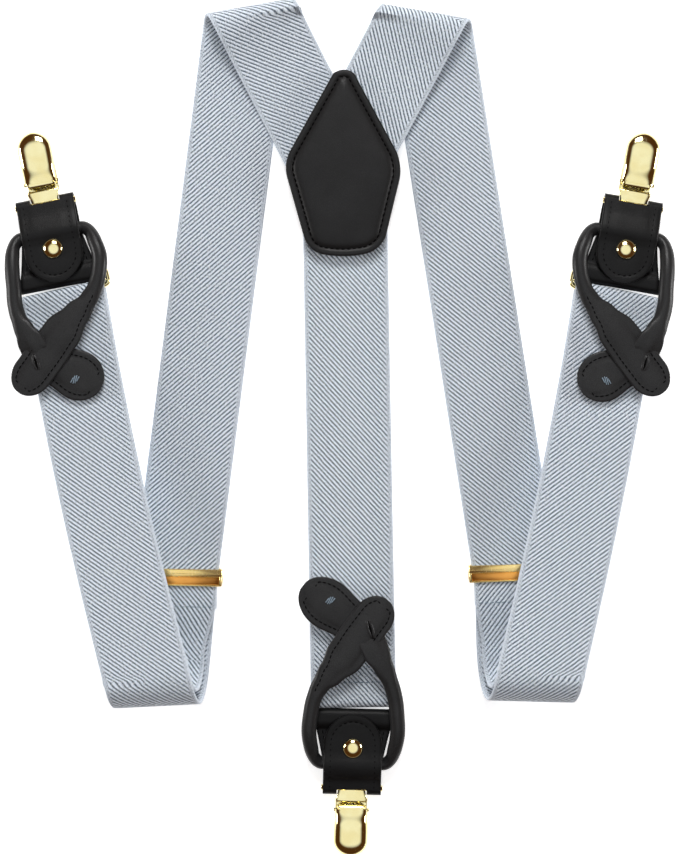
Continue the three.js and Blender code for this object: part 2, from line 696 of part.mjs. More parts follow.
// ---------- straps ----------
for (const [name, side] of Object.entries(sides)) {
  const path = makeStrapPath(side.start, side.vLean, strapLegs(side));
  const shape = { width: WEB_WIDTH, thick: WEB_THICK };
  add(braces, `strap_${name}`, strapGeometry(path, shape), webbing());

  const [, rear, ring] = path;
  const last = path[path.length - 1];
  const slide = new THREE.Group();
  const returnEnd = last.origin.clone().addScaledVector(last.direction, last.length);
  const alongRear = returnEnd.clone().sub(rear.origin).dot(rear.direction) - JOIN_GAP - STRAP_END_LENGTH;
  const place = rear.origin.clone().addScaledVector(rear.direction, alongRear);
  slide.position.set(place.x, place.y, 0);
  slide.rotation.z = THREE.MathUtils.degToRad(side.slideLean);
  braces.add(slide);
  const tail = returnEnd.clone().sub(place).dot(across2(heading(side.slideLean)));
  const skew = THREE.MathUtils.euclideanModulo(side.rearLean - side.slideLean + 270, 180) - 90;
  makeAdjuster(slide, name, tail, Math.tan(THREE.MathUtils.degToRad(skew)));

  const middle = ring.foldPoint.clone().addScaledVector(ring.direction, RING_HALF[1]);
  makeEnd(name, {
    place: [middle.x, middle.y],
    turn: side.endLean,
    ringTurn: side.frontLean,
    lean: -14,
    drop: 0.88,
    hand: side.mirror,
    reach: reachOf(37.4, 27),
  });
}

// the centre strap runs straight from the patch to the back end and is hemmed round its ring
const CENTRE_START = [5.4, 84];
const CENTRE_START_Z = 3.1;
const CENTRE_LEAN = 181;
const centrePath = makeStrapPath(CENTRE_START, CENTRE_LEAN, [
  {
    length: 199.6,
    height: (t) => CENTRE_START_Z + (RING_TOP_Z - CENTRE_START_Z) * t ** 2,
    turn: { to: CENTRE_LEAN - 180, radius: RING_WRAP_R, up: false },
  },
  { length: 11, height: level(RING_LOW_Z) },
]);
add(braces, 'strap_centre', strapGeometry(centrePath, { width: WEB_WIDTH, thick: WEB_THICK }), webbing());
const centreRing = centrePath[0];
const centreMiddle = centreRing.foldPoint.clone().addScaledVector(centreRing.direction, RING_HALF[1]);
makeEnd('back', {
  place: [centreMiddle.x, centreMiddle.y],
  turn: 178.6,
  ringTurn: CENTRE_LEAN,
  lean: 0.6,
  drop: 1,
  hand: 1,
  reach: reachOf(35.2, 25),
});

// the origin is under the middle of the whole object
const bounds = new THREE.Box3().setFromObject(braces);
braces.position.x = -(bounds.min.x + bounds.max.x) / 2;
braces.position.y = -(bounds.min.y + bounds.max.y) / 2;
braces.position.z = -bounds.min.z;

export default braces;
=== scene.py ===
"""Y-back suspenders laid flat: folded elastic straps, a stitched leather patch, slide adjusters, and on
each of the three ends a strap ring, leather holder, rolled button loop, snapped tab and gilt clip."""
import json
import math

import bmesh
import bpy
from mathutils import Matrix, Vector


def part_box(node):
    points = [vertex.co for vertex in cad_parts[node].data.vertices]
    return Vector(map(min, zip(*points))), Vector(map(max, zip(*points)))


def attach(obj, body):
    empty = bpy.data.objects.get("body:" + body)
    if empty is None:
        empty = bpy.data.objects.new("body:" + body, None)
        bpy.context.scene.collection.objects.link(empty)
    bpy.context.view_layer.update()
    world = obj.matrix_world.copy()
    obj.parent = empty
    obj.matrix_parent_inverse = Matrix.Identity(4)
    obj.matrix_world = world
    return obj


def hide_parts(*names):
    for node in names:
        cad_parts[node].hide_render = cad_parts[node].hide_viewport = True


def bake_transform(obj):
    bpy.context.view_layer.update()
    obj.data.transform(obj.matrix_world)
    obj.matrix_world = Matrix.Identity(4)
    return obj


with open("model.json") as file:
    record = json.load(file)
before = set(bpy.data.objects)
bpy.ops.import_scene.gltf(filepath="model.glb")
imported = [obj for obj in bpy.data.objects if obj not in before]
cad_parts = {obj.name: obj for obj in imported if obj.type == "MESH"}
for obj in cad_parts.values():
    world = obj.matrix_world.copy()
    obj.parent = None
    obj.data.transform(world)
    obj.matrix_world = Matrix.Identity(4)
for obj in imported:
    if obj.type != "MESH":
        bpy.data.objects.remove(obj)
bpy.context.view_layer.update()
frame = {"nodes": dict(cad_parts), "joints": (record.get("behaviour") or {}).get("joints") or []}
MM = 0.001
PI = math.pi

# ---------- sizes shared with the frame, in millimetres ----------
WEB_WIDTH, WEB_THICK, END_WEB_THICK = 35.0, 1.4, 1.1
GAP, LEATHER = 0.3, 1.3
REAR_LEG_Z, TOP_FOLD_R, BOTTOM_LOOP_R, RING_WRAP_R, LAYER_STEP = 1.7, 4.8, 10.6, 2.25, 2.0
END_Z, RING_HALF, RING_WIRE, RING_PLAY = 5.4, (19.2, 3.6), 2.2, 0.8
CHANNEL_Y, CORD_R, TAB_HALF, TAB_END_Y, SNAP_Y = 22.4, 2.6, 12.0, 1.8, 15.6
BAR_R, PIN_Z, PIN_R, CLIP_HALF, FLAP_SNAP_Z = 1.2, 6.1, 0.75, 6.8, 3.8
SLIDE_LENGTH, SLIDE_HALF, SLIDE_BAR_Z, SLIDE_BAR_R, SLIDE_TOP_Z = 7.0, 19.4, 4.95, 0.8, 7.35
STRAP_END_LENGTH, STRAP_END_TUCK, STRAP_END_LAP, JOIN_GAP = 33.2, 13.0, 4.0, 1.1
STITCH_INSET = 2.9


# ---------- small maths ----------
def smooth(value, low, high):
    t = min(1.0, max(0.0, (value - low) / (high - low)))
    return t * t * (3 - 2 * t)


def mix(a, b, t):
    return a + (b - a) * t


def steps(low, high, count):
    return [mix(low, high, k / count) for k in range(count + 1)]


def catmull(points, t):
    """The point at t (0 to 1) of a smooth line through points, with centripetal spacing."""
    last = len(points) - 1
    at = min(max(t, 0.0), 1.0) * last
    k = min(last - 1, int(at))
    w = at - k
    b, c = Vector(points[k]), Vector(points[k + 1])
    a = Vector(points[k - 1]) if k > 0 else b * 2 - c
    d = Vector(points[k + 2]) if k + 2 <= last else c * 2 - b
    d0 = max((b - a).length ** 0.5, 1e-4)
    d1 = max((c - b).length ** 0.5, 1e-4)
    d2 = max((d - c).length ** 0.5, 1e-4)
    m1 = ((b - a) / d0 - (c - a) / (d0 + d1) + (c - b) / d1) * d1
    m2 = ((c - b) / d1 - (d - b) / (d1 + d2) + (d - c) / d2) * d1
    w2, w3 = w * w, w * w * w
    return b * (2 * w3 - 3 * w2 + 1) + m1 * (w3 - 2 * w2 + w) + c * (3 * w2 - 2 * w3) + m2 * (w3 - w2)


# ---------- mesh building ----------
def make_object(name, vertices, faces, material, body, attribute=None, sharp=35):
    """A piece whose points are in millimetres in the row frame; it rides on body."""
    data = bpy.data.meshes.new(name)
    data.from_pydata([Vector(v) * MM for v in vertices], [], faces)
    if attribute:
        layer = data.attributes.new("cloth", "FLOAT_VECTOR", "POINT")
        layer.data.foreach_set("vector", [n for triple in attribute for n in triple])
    piece = bpy.data.objects.new(name, data)
    bpy.context.scene.collection.objects.link(piece)
    bm = bmesh.new()
    bm.from_mesh(data)
    bmesh.ops.remove_doubles(bm, verts=bm.verts, dist=1e-7)
    bmesh.ops.dissolve_degenerate(bm, edges=bm.edges, dist=1e-8)
    bmesh.ops.recalc_face_normals(bm, faces=bm.faces)
    bm.to_mesh(data)
    bm.free()
    data.shade_smooth()
    data.set_sharp_from_angle(angle=math.radians(sharp))
    data.materials.append(material)
    if body:
        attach(piece, body)
    return piece


class Solid:
    """Collects closed shells, in millimetres, that make one piece."""

    def __init__(self):
        self.vertices = []
        self.faces = []
        self.cloth = []

    def shell(self, vertices, faces, cloth=None):
        base = len(self.vertices)
        self.vertices += [Vector(v) for v in vertices]
        self.faces += [tuple(base + i for i in face) for face in faces]
        if cloth:
            self.cloth += cloth

    def rings(self, rings, closed=False, cloth=None):
        """Skins successive rings of points, and caps both ends with fans unless the rings close up."""
        count = len(rings[0])
        vertices = [point for ring in rings for point in ring]
        faces = []
        total = len(rings)
        for r in range(total if closed else total - 1):
            n = (r + 1) % total
            for k in range(count):
                m = (k + 1) % count
                faces.append((r * count + k, r * count + m, n * count + m, n * count + k))
        if not closed:
            faces.append(tuple(range(count)))
            faces.append(tuple((total - 1) * count + k for k in range(count)))
        self.shell(vertices, faces, cloth)

    def slab(self, rows, columns, place, cloth=None):
        """A thin slab. columns are (u, h): place across from -1 to 1 and share of the thickness.
        place(row, u, side) gives a point, where side runs from -1 underneath to 1 on top."""
        rings, marks = [], []
        for row in rows:
            over = [(u, h) for u, h in columns]
            under = [(u, -h) for u, h in reversed(columns[1:-1])]
            rings.append([place(row, u, h) for u, h in over + under])
            if cloth:
                marks += [cloth(row, u, h) for u, h in over + under]
        count = len(rings[0])
        n = len(columns)
        vertices = [point for ring in rings for point in ring]
        faces = []
        for r in range(len(rings) - 1):
            for k in range(count):
                m = (k + 1) % count
                faces.append((r * count + k, r * count + m, (r + 1) * count + m, (r + 1) * count + k))
        for start in (0, (len(rings) - 1) * count):
            under = [0] + [count - k for k in range(1, n - 1)] + [n - 1]
            for k in range(n - 1):
                quad = [start + k, start + k + 1, start + under[k + 1], start + under[k]]
                face = tuple(dict.fromkeys(quad))
                if len(face) > 2:
                    faces.append(face)
        self.shell(vertices, faces, marks)

    def tube(self, points, radius, sides=14, closed=False):
        """A round tube along points; radius is a number or one number for each point."""
        rings = []
        total = len(points)
        normal = None
        for i, point in enumerate(points):
            before = points[i - 1] if i > 0 or closed else points[i]
            after = points[(i + 1) % total] if i + 1 < total or closed else points[i]
            ahead = (Vector(after) - Vector(before)).normalized()
            if normal is None:
                guide = Vector((0, 0, 1)) if abs(ahead.z) < 0.9 else Vector((0, 1, 0))
                normal = (guide - ahead * guide.dot(ahead)).normalized()
            normal = (normal - ahead * normal.dot(ahead)).normalized()
            side = ahead.cross(normal)
            r = radius[i] if isinstance(radius, (list, tuple)) else radius
            ring = [
                Vector(point) + (normal * math.cos(a) + side * math.sin(a)) * r
                for a in steps(0, 2 * PI, sides)[:-1]
            ]
            rings.append(ring)
        self.rings(rings, closed)

    def rod(self, start, end, radius, sides=20, chamfer=0.15):
        """A straight rod with softened ends."""
        a, b = Vector(start), Vector(end)
        ahead = (b - a).normalized()
        points = [a, a + ahead * chamfer, b - ahead * chamfer, b]
        self.tube(points, [radius - chamfer, radius, radius, radius - chamfer], sides)

    def lathe(self, profile, centre, sides=40):
        """A profile of (radius, height) pairs turned about the z axis; it starts and ends on the axis."""
        inner = [p for p in profile if p[0] > 1e-6]
        rings = [
            [(centre[0] + r * math.cos(a), centre[1] + r * math.sin(a), centre[2] + z)
             for a in steps(0, 2 * PI, sides)[:-1]]
            for r, z in inner
        ]
        self.rings(rings)

    def profile(self, loops, places):
        """A flat-sided solid: loops are closed outlines in the y-z plane, and places are (x, scale)
        stations across it, where scale(loop point) gives the point's y and z."""
        bm = bmesh.new()
        columns = []
        for x_of, move in places:
            columns.append([[bm.verts.new((x_of(p), *move(p))) for p in loop] for loop in loops])
        for a, b in zip(columns, columns[1:]):
            for one, two in zip(a, b):
                for k in range(len(one)):
                    m = (k + 1) % len(one)
                    bm.faces.new((one[k], one[m], two[m], two[k]))
        for column in (columns[0], columns[-1]):
            edges = []
            for loop in column:
                for k in range(len(loop)):
                    pair = (loop[k], loop[(k + 1) % len(loop)])
                    edges.append(bm.edges.get(pair) or bm.edges.new(pair))
            bmesh.ops.triangle_fill(bm, use_beauty=True, edges=edges)
        bm.verts.index_update()
        self.shell([v.co.copy() for v in bm.verts], [tuple(v.index for v in f.verts) for f in bm.faces])
        bm.free()

    def moved(self, place):
        self.vertices = [place(v) for v in self.vertices]
        return self

    def finish(self, name, material, body, slot, sharp=35):
        return make_object(name, self.vertices, self.faces, material, body, self.cloth, sharp)


def edge_columns(flats, rounds, share):
    """Columns for a slab with rounded edges that take up share of each half width."""
    left = [(-1 + share * (1 - math.cos(a)), math.sin(a)) for a in steps(0, PI / 2, rounds)]
    middle = [(u, 1.0) for u in steps(-1 + share, 1 - share, flats)[1:-1]]
    right = [(-u, h) for u, h in reversed(left)]
    return left + middle + right


def stitches(name, line, up, body, slot, material, pitch, length, radius, place=None, rise=0.35):
    """A row of thread stitches along line, each a short bent bar whose ends dive into the surface."""
    solid = Solid()
    points = [Vector(p) for p in line]
    ups = [Vector(n) for n in up]
    walked = [0.0]
    for a, b in zip(points, points[1:]):
        walked.append(walked[-1] + (b - a).length)

    def at(s):
        k = next((i for i in range(len(walked) - 1) if walked[i + 1] >= s), len(walked) - 2)
        w = (s - walked[k]) / max(walked[k + 1] - walked[k], 1e-9)
        return points[k].lerp(points[k + 1], w), ups[k].lerp(ups[k + 1], w).normalized()

    count = max(1, int(walked[-1] / pitch))
    true_pitch = walked[-1] / count
    for i in range(count):
        start = (i + 0.5) * true_pitch - length / 2
        bar = []
        for w in steps(0, 1, 6):
            point, normal = at(start + w * length)
            lift = (math.sin(PI * w) ** 0.6) * radius * 1.4 - radius * (1.4 - rise)
            bar.append(point + normal * lift)
        solid.tube(bar, [radius * (0.55 + 0.45 * math.sin(PI * w)) for w in steps(0, 1, 6)], 8)
    if place:
        solid.moved(place)
    return solid.finish(name, material, body, slot, 180)


# ---------- shader node groups ----------
def new_group(name, inputs, outputs):
    group = bpy.data.node_groups.new(name, "ShaderNodeTree")
    for socket, kind, value in inputs:
        made = group.interface.new_socket(name=socket, in_out="INPUT", socket_type=kind)
        if value is not None:
            made.default_value = value
    for socket, kind in outputs:
        group.interface.new_socket(name=socket, in_out="OUTPUT", socket_type=kind)
    return group


class Net:
    """Short ways to add and join nodes in one tree."""

    def __init__(self, tree):
        self.tree = tree

    def node(self, kind, **settings):
        made = self.tree.nodes.new(kind)
        for key, value in settings.items():
            setattr(made, key, value)
        return made

    def put(self, source, socket):
        if isinstance(source, bpy.types.NodeSocket):
            self.tree.links.new(source, socket)
        else:
            socket.default_value = source

    def math(self, operation, a, b=None, clamp=False):
        made = self.node("ShaderNodeMath", operation=operation, use_clamp=clamp)
        self.put(a, made.inputs[0])
        if b is not None:
            self.put(b, made.inputs[1])
        return made.outputs[0]

    def ramp(self, value, low, high, to_low=0.0, to_high=1.0):
        made = self.node("ShaderNodeMapRange", interpolation_type="SMOOTHSTEP")
        for socket, item in zip(made.inputs, (value, low, high, to_low, to_high)):
            self.put(item, socket)
        return made.outputs[0]

    def blend(self, factor, a, b):
        made = self.node("ShaderNodeMix", data_type="RGBA")
        self.put(factor, made.inputs["Factor"])
        self.put(a, made.inputs[6])
        self.put(b, made.inputs[7])
        return made.outputs[2]

    def lerp(self, factor, a, b):
        made = self.node("ShaderNodeMix", data_type="FLOAT")
        self.put(factor, made.inputs["Factor"])
        self.put(a, made.inputs[2])
        self.put(b, made.inputs[3])
        return made.outputs[0]

    def noise(self, vector, scale, detail=2.0, roughness=0.5):
        made = self.node("ShaderNodeTexNoise")
        self.put(vector, made.inputs["Vector"])
        made.inputs["Scale"].default_value = scale
        made.inputs["Detail"].default_value = detail
        made.inputs["Roughness"].default_value = roughness
        return made.outputs["Fac"]


def twill_group():
    """Diagonal twill on cloth coordinates (metres along, metres across, hand of the diagonal)."""
    group = new_group(
        "Twill weave",
        [("Cloth", "NodeSocketVector", None), ("Pitch", "NodeSocketFloat", 0.0015),
         ("Half Width", "NodeSocketFloat", 0.0175), ("Selvedge", "NodeSocketFloat", 0.0021)],
        [("Height", "NodeSocketFloat"), ("Groove", "NodeSocketFloat"), ("Selvedge", "NodeSocketFloat"),
         ("Fleck", "NodeSocketFloat")],
    )
    net = Net(group)
    entry, out = net.node("NodeGroupInput"), net.node("NodeGroupOutput")
    split = net.node("ShaderNodeSeparateXYZ")
    net.put(entry.outputs["Cloth"], split.inputs[0])
    along, across, hand = split.outputs
    wobble = net.math("MULTIPLY", net.math("SUBTRACT", net.noise(entry.outputs["Cloth"], 260.0), 0.5), 0.0003)
    turned = net.math("MULTIPLY", across, net.math("SIGN", hand))
    slope = math.radians(42)

    def waves(pitch, direction, offset=0.0):
        sum_ = net.math(
            "ADD",
            net.math("MULTIPLY", along, math.sin(slope)),
            net.math("MULTIPLY", turned, math.cos(slope) * direction),
        )
        phase = net.math("DIVIDE", net.math("ADD", sum_, wobble), pitch)
        wave = net.math("SINE", net.math("ADD", net.math("MULTIPLY", phase, 2 * PI), offset))
        return net.math("ADD", net.math("MULTIPLY", wave, 0.5), 0.5)

    rib = waves(entry.outputs["Pitch"], 1)
    fine = net.math("MULTIPLY", entry.outputs["Pitch"], 0.42)
    yarn = waves(fine, -1, 0.8)
    edge_rib = waves(net.math("MULTIPLY", entry.outputs["Pitch"], 0.62), -1)
    warp = net.math("SINE", net.math("MULTIPLY", across, 2 * PI / 0.00075))
    warp = net.math("ADD", net.math("MULTIPLY", warp, 0.5), 0.5)
    distance = net.math("SUBTRACT", entry.outputs["Half Width"], net.math("ABSOLUTE", across))
    selvedge = entry.outputs["Selvedge"]
    inside = net.ramp(distance, net.math("MULTIPLY", selvedge, 0.6), selvedge)
    rim = net.ramp(distance, 0.0005, 0.0009)
    body = net.math("ADD", net.math("MULTIPLY", rib, 0.78), net.math("MULTIPLY", yarn, 0.22))
    loose = net.math("MULTIPLY", net.noise(entry.outputs["Cloth"], 1300.0), 0.7)
    yarns = net.math("ADD", net.math("MULTIPLY", warp, 0.1), loose)
    side = net.math("ADD", net.math("MULTIPLY", edge_rib, 0.3), yarns)
    height = net.lerp(inside, side, body)
    height = net.lerp(rim, 0.62, height)
    net.put(height, out.inputs["Height"])
    net.put(net.ramp(height, 0.12, 0.62, 1.0, 0.0), out.inputs["Groove"])
    net.put(net.math("SUBTRACT", 1.0, inside), out.inputs["Selvedge"])
    net.put(net.noise(entry.outputs["Cloth"], 1500.0, 3.0), out.inputs["Fleck"])
    return group


def grain_group():
    """Fine leather pebbling, pores and broad shading."""
    group = new_group(
        "Leather grain",
        [("Vector", "NodeSocketVector", None)],
        [("Height", "NodeSocketFloat"), ("Pores", "NodeSocketFloat"), ("Shade", "NodeSocketFloat")],
    )
    net = Net(group)
    entry, out = net.node("NodeGroupInput"), net.node("NodeGroupOutput")
    cells = net.node("ShaderNodeTexVoronoi", feature="DISTANCE_TO_EDGE")
    net.put(entry.outputs["Vector"], cells.inputs["Vector"])
    cells.inputs["Scale"].default_value = 1500.0
    creases = net.ramp(cells.outputs["Distance"], 0.02, 0.28)
    broad = net.noise(entry.outputs["Vector"], 420.0, 3.0)
    height = net.math("ADD", net.math("MULTIPLY", creases, 0.6), net.math("MULTIPLY", broad, 0.5))
    net.put(height, out.inputs["Height"])
    net.put(creases, out.inputs["Pores"])
    net.put(net.noise(entry.outputs["Vector"], 70.0, 2.0), out.inputs["Shade"])
    return group


def wear_group():
    """Faint rubbed marks and hairline scratches of handled metal."""
    group = new_group(
        "Metal handling",
        [("Vector", "NodeSocketVector", None)],
        [("Scratch", "NodeSocketFloat"), ("Cloud", "NodeSocketFloat")],
    )
    net = Net(group)
    entry, out = net.node("NodeGroupInput"), net.node("NodeGroupOutput")
    stretch = net.node("ShaderNodeMapping")
    net.put(entry.outputs["Vector"], stretch.inputs["Vector"])
    stretch.inputs["Scale"].default_value = (1.0, 0.08, 1.0)
    lines = net.noise(stretch.outputs[0], 2600.0, 2.0, 0.6)
    net.put(net.ramp(lines, 0.62, 0.72), out.inputs["Scratch"])
    net.put(net.noise(entry.outputs["Vector"], 160.0, 2.0), out.inputs["Cloud"])
    return group


TWILL = twill_group()
GRAIN = grain_group()
WEAR = wear_group()


def new_material(name, **values):
    material = bpy.data.materials.new(name)
    material.use_nodes = True
    net = Net(material.node_tree)
    shader = material.node_tree.nodes["Principled BSDF"]
    for socket, value in values.items():
        shader.inputs[socket.replace("_", " ")].default_value = value
    return material, net, shader


def place_group(net, group):
    made = net.node("ShaderNodeGroup")
    made.node_tree = group
    return made


def bump(net, shader, height, distance, strength=1.0):
    made = net.node("ShaderNodeBump")
    made.inputs["Distance"].default_value = distance
    made.inputs["Strength"].default_value = strength
    net.put(height, made.inputs["Height"])
    net.put(made.outputs[0], shader.inputs["Normal"])


def webbing_material(name, light, dark, pitch=0.00141):
    material, net, shader = new_material(name, Sheen_Weight=0.12, Sheen_Roughness=0.5)
    shader.inputs["Specular IOR Level"].default_value = 0.25
    cloth = net.node("ShaderNodeAttribute", attribute_name="cloth")
    weave = place_group(net, TWILL)
    net.put(cloth.outputs["Vector"], weave.inputs["Cloth"])
    weave.inputs["Pitch"].default_value = pitch
    base = net.blend(weave.outputs["Groove"], light, dark)
    fleck = weave.outputs["Fleck"]
    lightest = (*[min(1, c * 1.3) for c in light[:3]], 1)
    pale = net.blend(net.ramp(fleck, 0.5, 0.72, 0.0, 0.6), base, lightest)
    flecked = net.blend(net.ramp(fleck, 0.3, 0.48, 0.45, 0.0), pale, dark)
    edge = net.blend(net.math("MULTIPLY", weave.outputs["Selvedge"], 0.22), flecked, dark)
    net.put(edge, shader.inputs["Base Color"])
    net.put(net.ramp(weave.outputs["Height"], 0.0, 1.0, 0.95, 0.78), shader.inputs["Roughness"])
    bump(net, shader, weave.outputs["Height"], 0.00022, 0.8)
    return material


def leather_material(name, colour, worn, rough, depth=0.00006, gloss=0.2):
    material, net, shader = new_material(name)
    shader.inputs["Specular IOR Level"].default_value = gloss
    place = net.node("ShaderNodeTexCoord")
    grain = place_group(net, GRAIN)
    net.put(place.outputs["Object"], grain.inputs["Vector"])
    tone = net.blend(net.ramp(grain.outputs["Shade"], 0.35, 0.75), colour, worn)
    pored = net.blend(net.ramp(grain.outputs["Pores"], 0.0, 0.5, 0.35, 0.0), tone, (0.004, 0.004, 0.004, 1))
    net.put(pored, shader.inputs["Base Color"])
    sheen = net.ramp(grain.outputs["Shade"], 0.2, 0.8, rough + 0.06, rough - 0.05)
    net.put(sheen, shader.inputs["Roughness"])
    bump(net, shader, grain.outputs["Height"], depth, 0.7)
    return material


def metal_material(name, colour, deep, rough):
    material, net, shader = new_material(name, Metallic=1.0)
    place = net.node("ShaderNodeTexCoord")
    wear = place_group(net, WEAR)
    net.put(place.outputs["Object"], wear.inputs["Vector"])
    tone = net.blend(net.ramp(wear.outputs["Cloud"], 0.3, 0.75), deep, colour)
    net.put(tone, shader.inputs["Base Color"])
    rubbed = net.ramp(wear.outputs["Scratch"], 0.0, 1.0, rough, rough + 0.08)
    clouded = net.math("ADD", rubbed, net.ramp(wear.outputs["Cloud"], 0.3, 0.8, 0.0, 0.04))
    net.put(clouded, shader.inputs["Roughness"])
    bump(net, shader, wear.outputs["Cloud"], 0.00002, 0.3)
    return material


def thread_material(name, colour, shade, gloss):
    material, net, shader = new_material(name)
    shader.inputs["Specular IOR Level"].default_value = gloss
    place = net.node("ShaderNodeTexCoord")
    strands = net.noise(place.outputs["Object"], 3500.0, 2.0)
    net.put(net.blend(strands, colour, shade), shader.inputs["Base Color"])
    net.put(net.ramp(strands, 0.3, 0.7, 0.6, 0.8), shader.inputs["Roughness"])
    bump(net, shader, strands, 0.00003, 0.6)
    return material


def pad_material():
    material, net, shader = new_material("grip rubber")
    place = net.node("ShaderNodeTexCoord")
    speckle = net.noise(place.outputs["Object"], 2200.0, 3.0)
    net.put(net.blend(speckle, (0.02, 0.019, 0.017, 1), (0.05, 0.047, 0.043, 1)), shader.inputs["Base Color"])
    net.put(net.ramp(speckle, 0.2, 0.8, 0.7, 0.85), shader.inputs["Roughness"])
    bump(net, shader, speckle, 0.00008, 0.6)
    return material


WEB_LIGHT, WEB_DARK = (0.735, 0.805, 0.895, 1), (0.05, 0.08, 0.115, 1)
webbing = webbing_material("twill webbing", WEB_LIGHT, WEB_DARK)
PATCH_BLACK, PATCH_WORN = (0.009, 0.009, 0.0095, 1), (0.013, 0.013, 0.0135, 1)
TAB_BLACK, TAB_WORN = (0.006, 0.006, 0.0062, 1), (0.009, 0.009, 0.0094, 1)
LOOP_BLACK, LOOP_WORN = (0.021, 0.021, 0.0217, 1), (0.027, 0.027, 0.0277, 1)
patch_leather = leather_material("black leather", PATCH_BLACK, PATCH_WORN, 0.4, 0.00005, 0.22)
tab_leather = leather_material("tab leather", TAB_BLACK, TAB_WORN, 0.4, 0.00005, 0.16)
loop_leather = leather_material("rolled leather", LOOP_BLACK, LOOP_WORN, 0.32, 0.00003, 0.2)
gold = metal_material("polished gilt", (0.95, 0.86, 0.48, 1), (0.90, 0.78, 0.38, 1), 0.08)
slide_gold = metal_material("slide gilt", (0.94, 0.74, 0.32, 1), (0.88, 0.64, 0.24, 1), 0.24)
# slide recess: a deeper orange copy of the slide gilt, painted shade for the sunken band
slide_shaded_gilt = metal_material("slide recess", (0.92, 0.44, 0.10, 1), (0.80, 0.36, 0.08, 1), 0.3)
steel = metal_material("spring steel", (0.6, 0.6, 0.62, 1), (0.5, 0.5, 0.52, 1), 0.3)
# black thread: the stitches' own colour; the same material also paints the shade in the loops' slit
black_thread_and_slit_shade = thread_material("black thread", (0.001, 0.001, 0.001, 1), (0.002, 0.002, 0.002, 1), 0.05)
web_thread = thread_material("grey thread", (0.14, 0.20, 0.25, 1), (0.26, 0.33, 0.40, 1), 0.3)
rubber = pad_material()


# ---------- folded webbing ----------
def heading(degrees):
    angle = math.radians(degrees)
    return Vector((-math.sin(angle), math.cos(angle)))


def across2(direction):
    return Vector((direction.y, -direction.x))


def make_path(start, first_heading, legs):
    """The legs of one strap: { length, height, shift, turn }, as flat runs joined by round folds."""
    path = []
    origin, direction, begin = Vector(start), heading(first_heading), 0.0
    for leg in legs:
        sideways = 1 if len(path) % 2 == 0 else -1
        normal = across2(direction) * sideways
        entry = {"shift": lambda t: 0.0, "turn": None, **leg, "origin": origin.copy(), "normal": normal,
                 "direction": direction.copy(), "begin": begin, "end": begin + leg["length"]}
        path.append(entry)
        if not entry["turn"]:
            break
        to, radius, _ = entry["turn"]
        fold = origin + direction * leg["length"] + normal * entry["shift"](1)
        following = heading(to)
        line = direction + following
        if line.length < 1e-6:
            line = normal.copy()
        line.normalize()
        outward = across2(line)
        if outward.dot(direction) < 0:
            outward = -outward
        bend = PI * radius
        run = bend / direction.dot(outward)
        entry.update(fold=fold, outward=outward, bend=bend, run=run,
                     slant=-normal.dot(outward) / direction.dot(outward))
        origin = fold + line * (direction.dot(line) * run)
        direction = following
        begin = entry["end"] + run
    return path


def strap_point(path, along, across):
    """The middle of the webbing at a distance along it and a distance across it."""
    for leg in path:
        t = min(1.0, max(0.0, (along - leg["begin"]) / leg["length"]))
        flat = leg["origin"] + leg["direction"] * (along - leg["begin"])
        flat = flat + leg["normal"] * (across + leg["shift"](t))
        past = (flat - leg["fold"]).dot(leg["outward"]) if leg["turn"] else -1
        if past <= 0:
            return Vector((flat.x, flat.y, leg["height"](t)))
        if past < leg["bend"]:
            _, radius, up = leg["turn"]
            angle = past / radius
            flat = flat + leg["outward"] * (radius * math.sin(angle) - past)
            return Vector((flat.x, flat.y, leg["height"](1) + up * radius * (1 - math.cos(angle))))
    return Vector((0, 0, 0))


def strap_rows(path, step, bend_rows, start_slant=0.0):
    rows = []
    slant_before = start_slant
    for index, leg in enumerate(path):
        slant_after = leg["slant"] if leg["turn"] else 0.0
        parts = max(1, round(leg["length"] / step))
        for k in range(0 if index == 0 else 1, parts + 1):
            t = k / parts
            rows.append((leg["begin"] + leg["length"] * t, mix(slant_before, slant_after, t)))
        if not leg["turn"]:
            break
        for k in range(1, bend_rows + 1):
            rows.append((leg["end"] + leg["run"] * k / bend_rows, leg["slant"]))
        slant_before = leg["slant"]
    return rows


def strap_surface(path, along, offset):
    """The webbing's middle and its upward normal there."""
    tiny = 0.03
    here = strap_point(path, along, offset)
    ahead = strap_point(path, along + tiny, offset) - strap_point(path, along - tiny, offset)
    aside = strap_point(path, along, offset + tiny) - strap_point(path, along, offset - tiny)
    return here, aside.cross(ahead).normalized()


def webbing_solid(path, width, thick, hand_of, step=3.0, bend_rows=22, start_slant=0.0):
    solid = Solid()
    columns = edge_columns(10, 3, 0.035)

    def ripple(along, offset):
        return 0.05 * math.sin(along * 0.21 + offset * 0.13) * math.sin(along * 0.083 + 1.3)

    def place(row, u, side):
        along = row[0] + row[1] * u * width / 2
        here, up = strap_surface(path, along, u * width / 2)
        return here + up * (side * thick / 2 + ripple(along, u * width / 2))

    def cloth(row, u, side):
        along = row[0] + row[1] * u * width / 2
        return (along * MM, u * width / 2 * MM, hand_of(along))

    solid.slab(strap_rows(path, step, bend_rows, start_slant), columns, place, cloth)
    return solid


FRONT_TOP_Z = REAR_LEG_Z + 2 * BOTTOM_LOOP_R
INNER_LOOP_R = BOTTOM_LOOP_R - LAYER_STEP
RING_TOP_Z, RING_LOW_Z = END_Z + RING_WRAP_R, END_Z - RING_WRAP_R

SIDES = {
    "left": dict(start=(-2.2, 110.3), patch_z=3.1, v_lean=27.4, rear_lean=172.75, front_lean=12.9,
                 slide_lean=-1.0, sway=1.2, bow=-2.2, lengths=(62.4, 272.5, 161.6, 158.4)),
    "right": dict(start=(5.6, 107.6), patch_z=4.9, v_lean=-28.2, rear_lean=-171.1, front_lean=-12.0,
                  slide_lean=2.0, sway=-4.0, bow=1.8, lengths=(63.4, 269.0, 158.6, 155.6)),
}


def front_height(t):
    return RING_TOP_Z + (FRONT_TOP_Z - RING_TOP_Z) * t ** 1.8


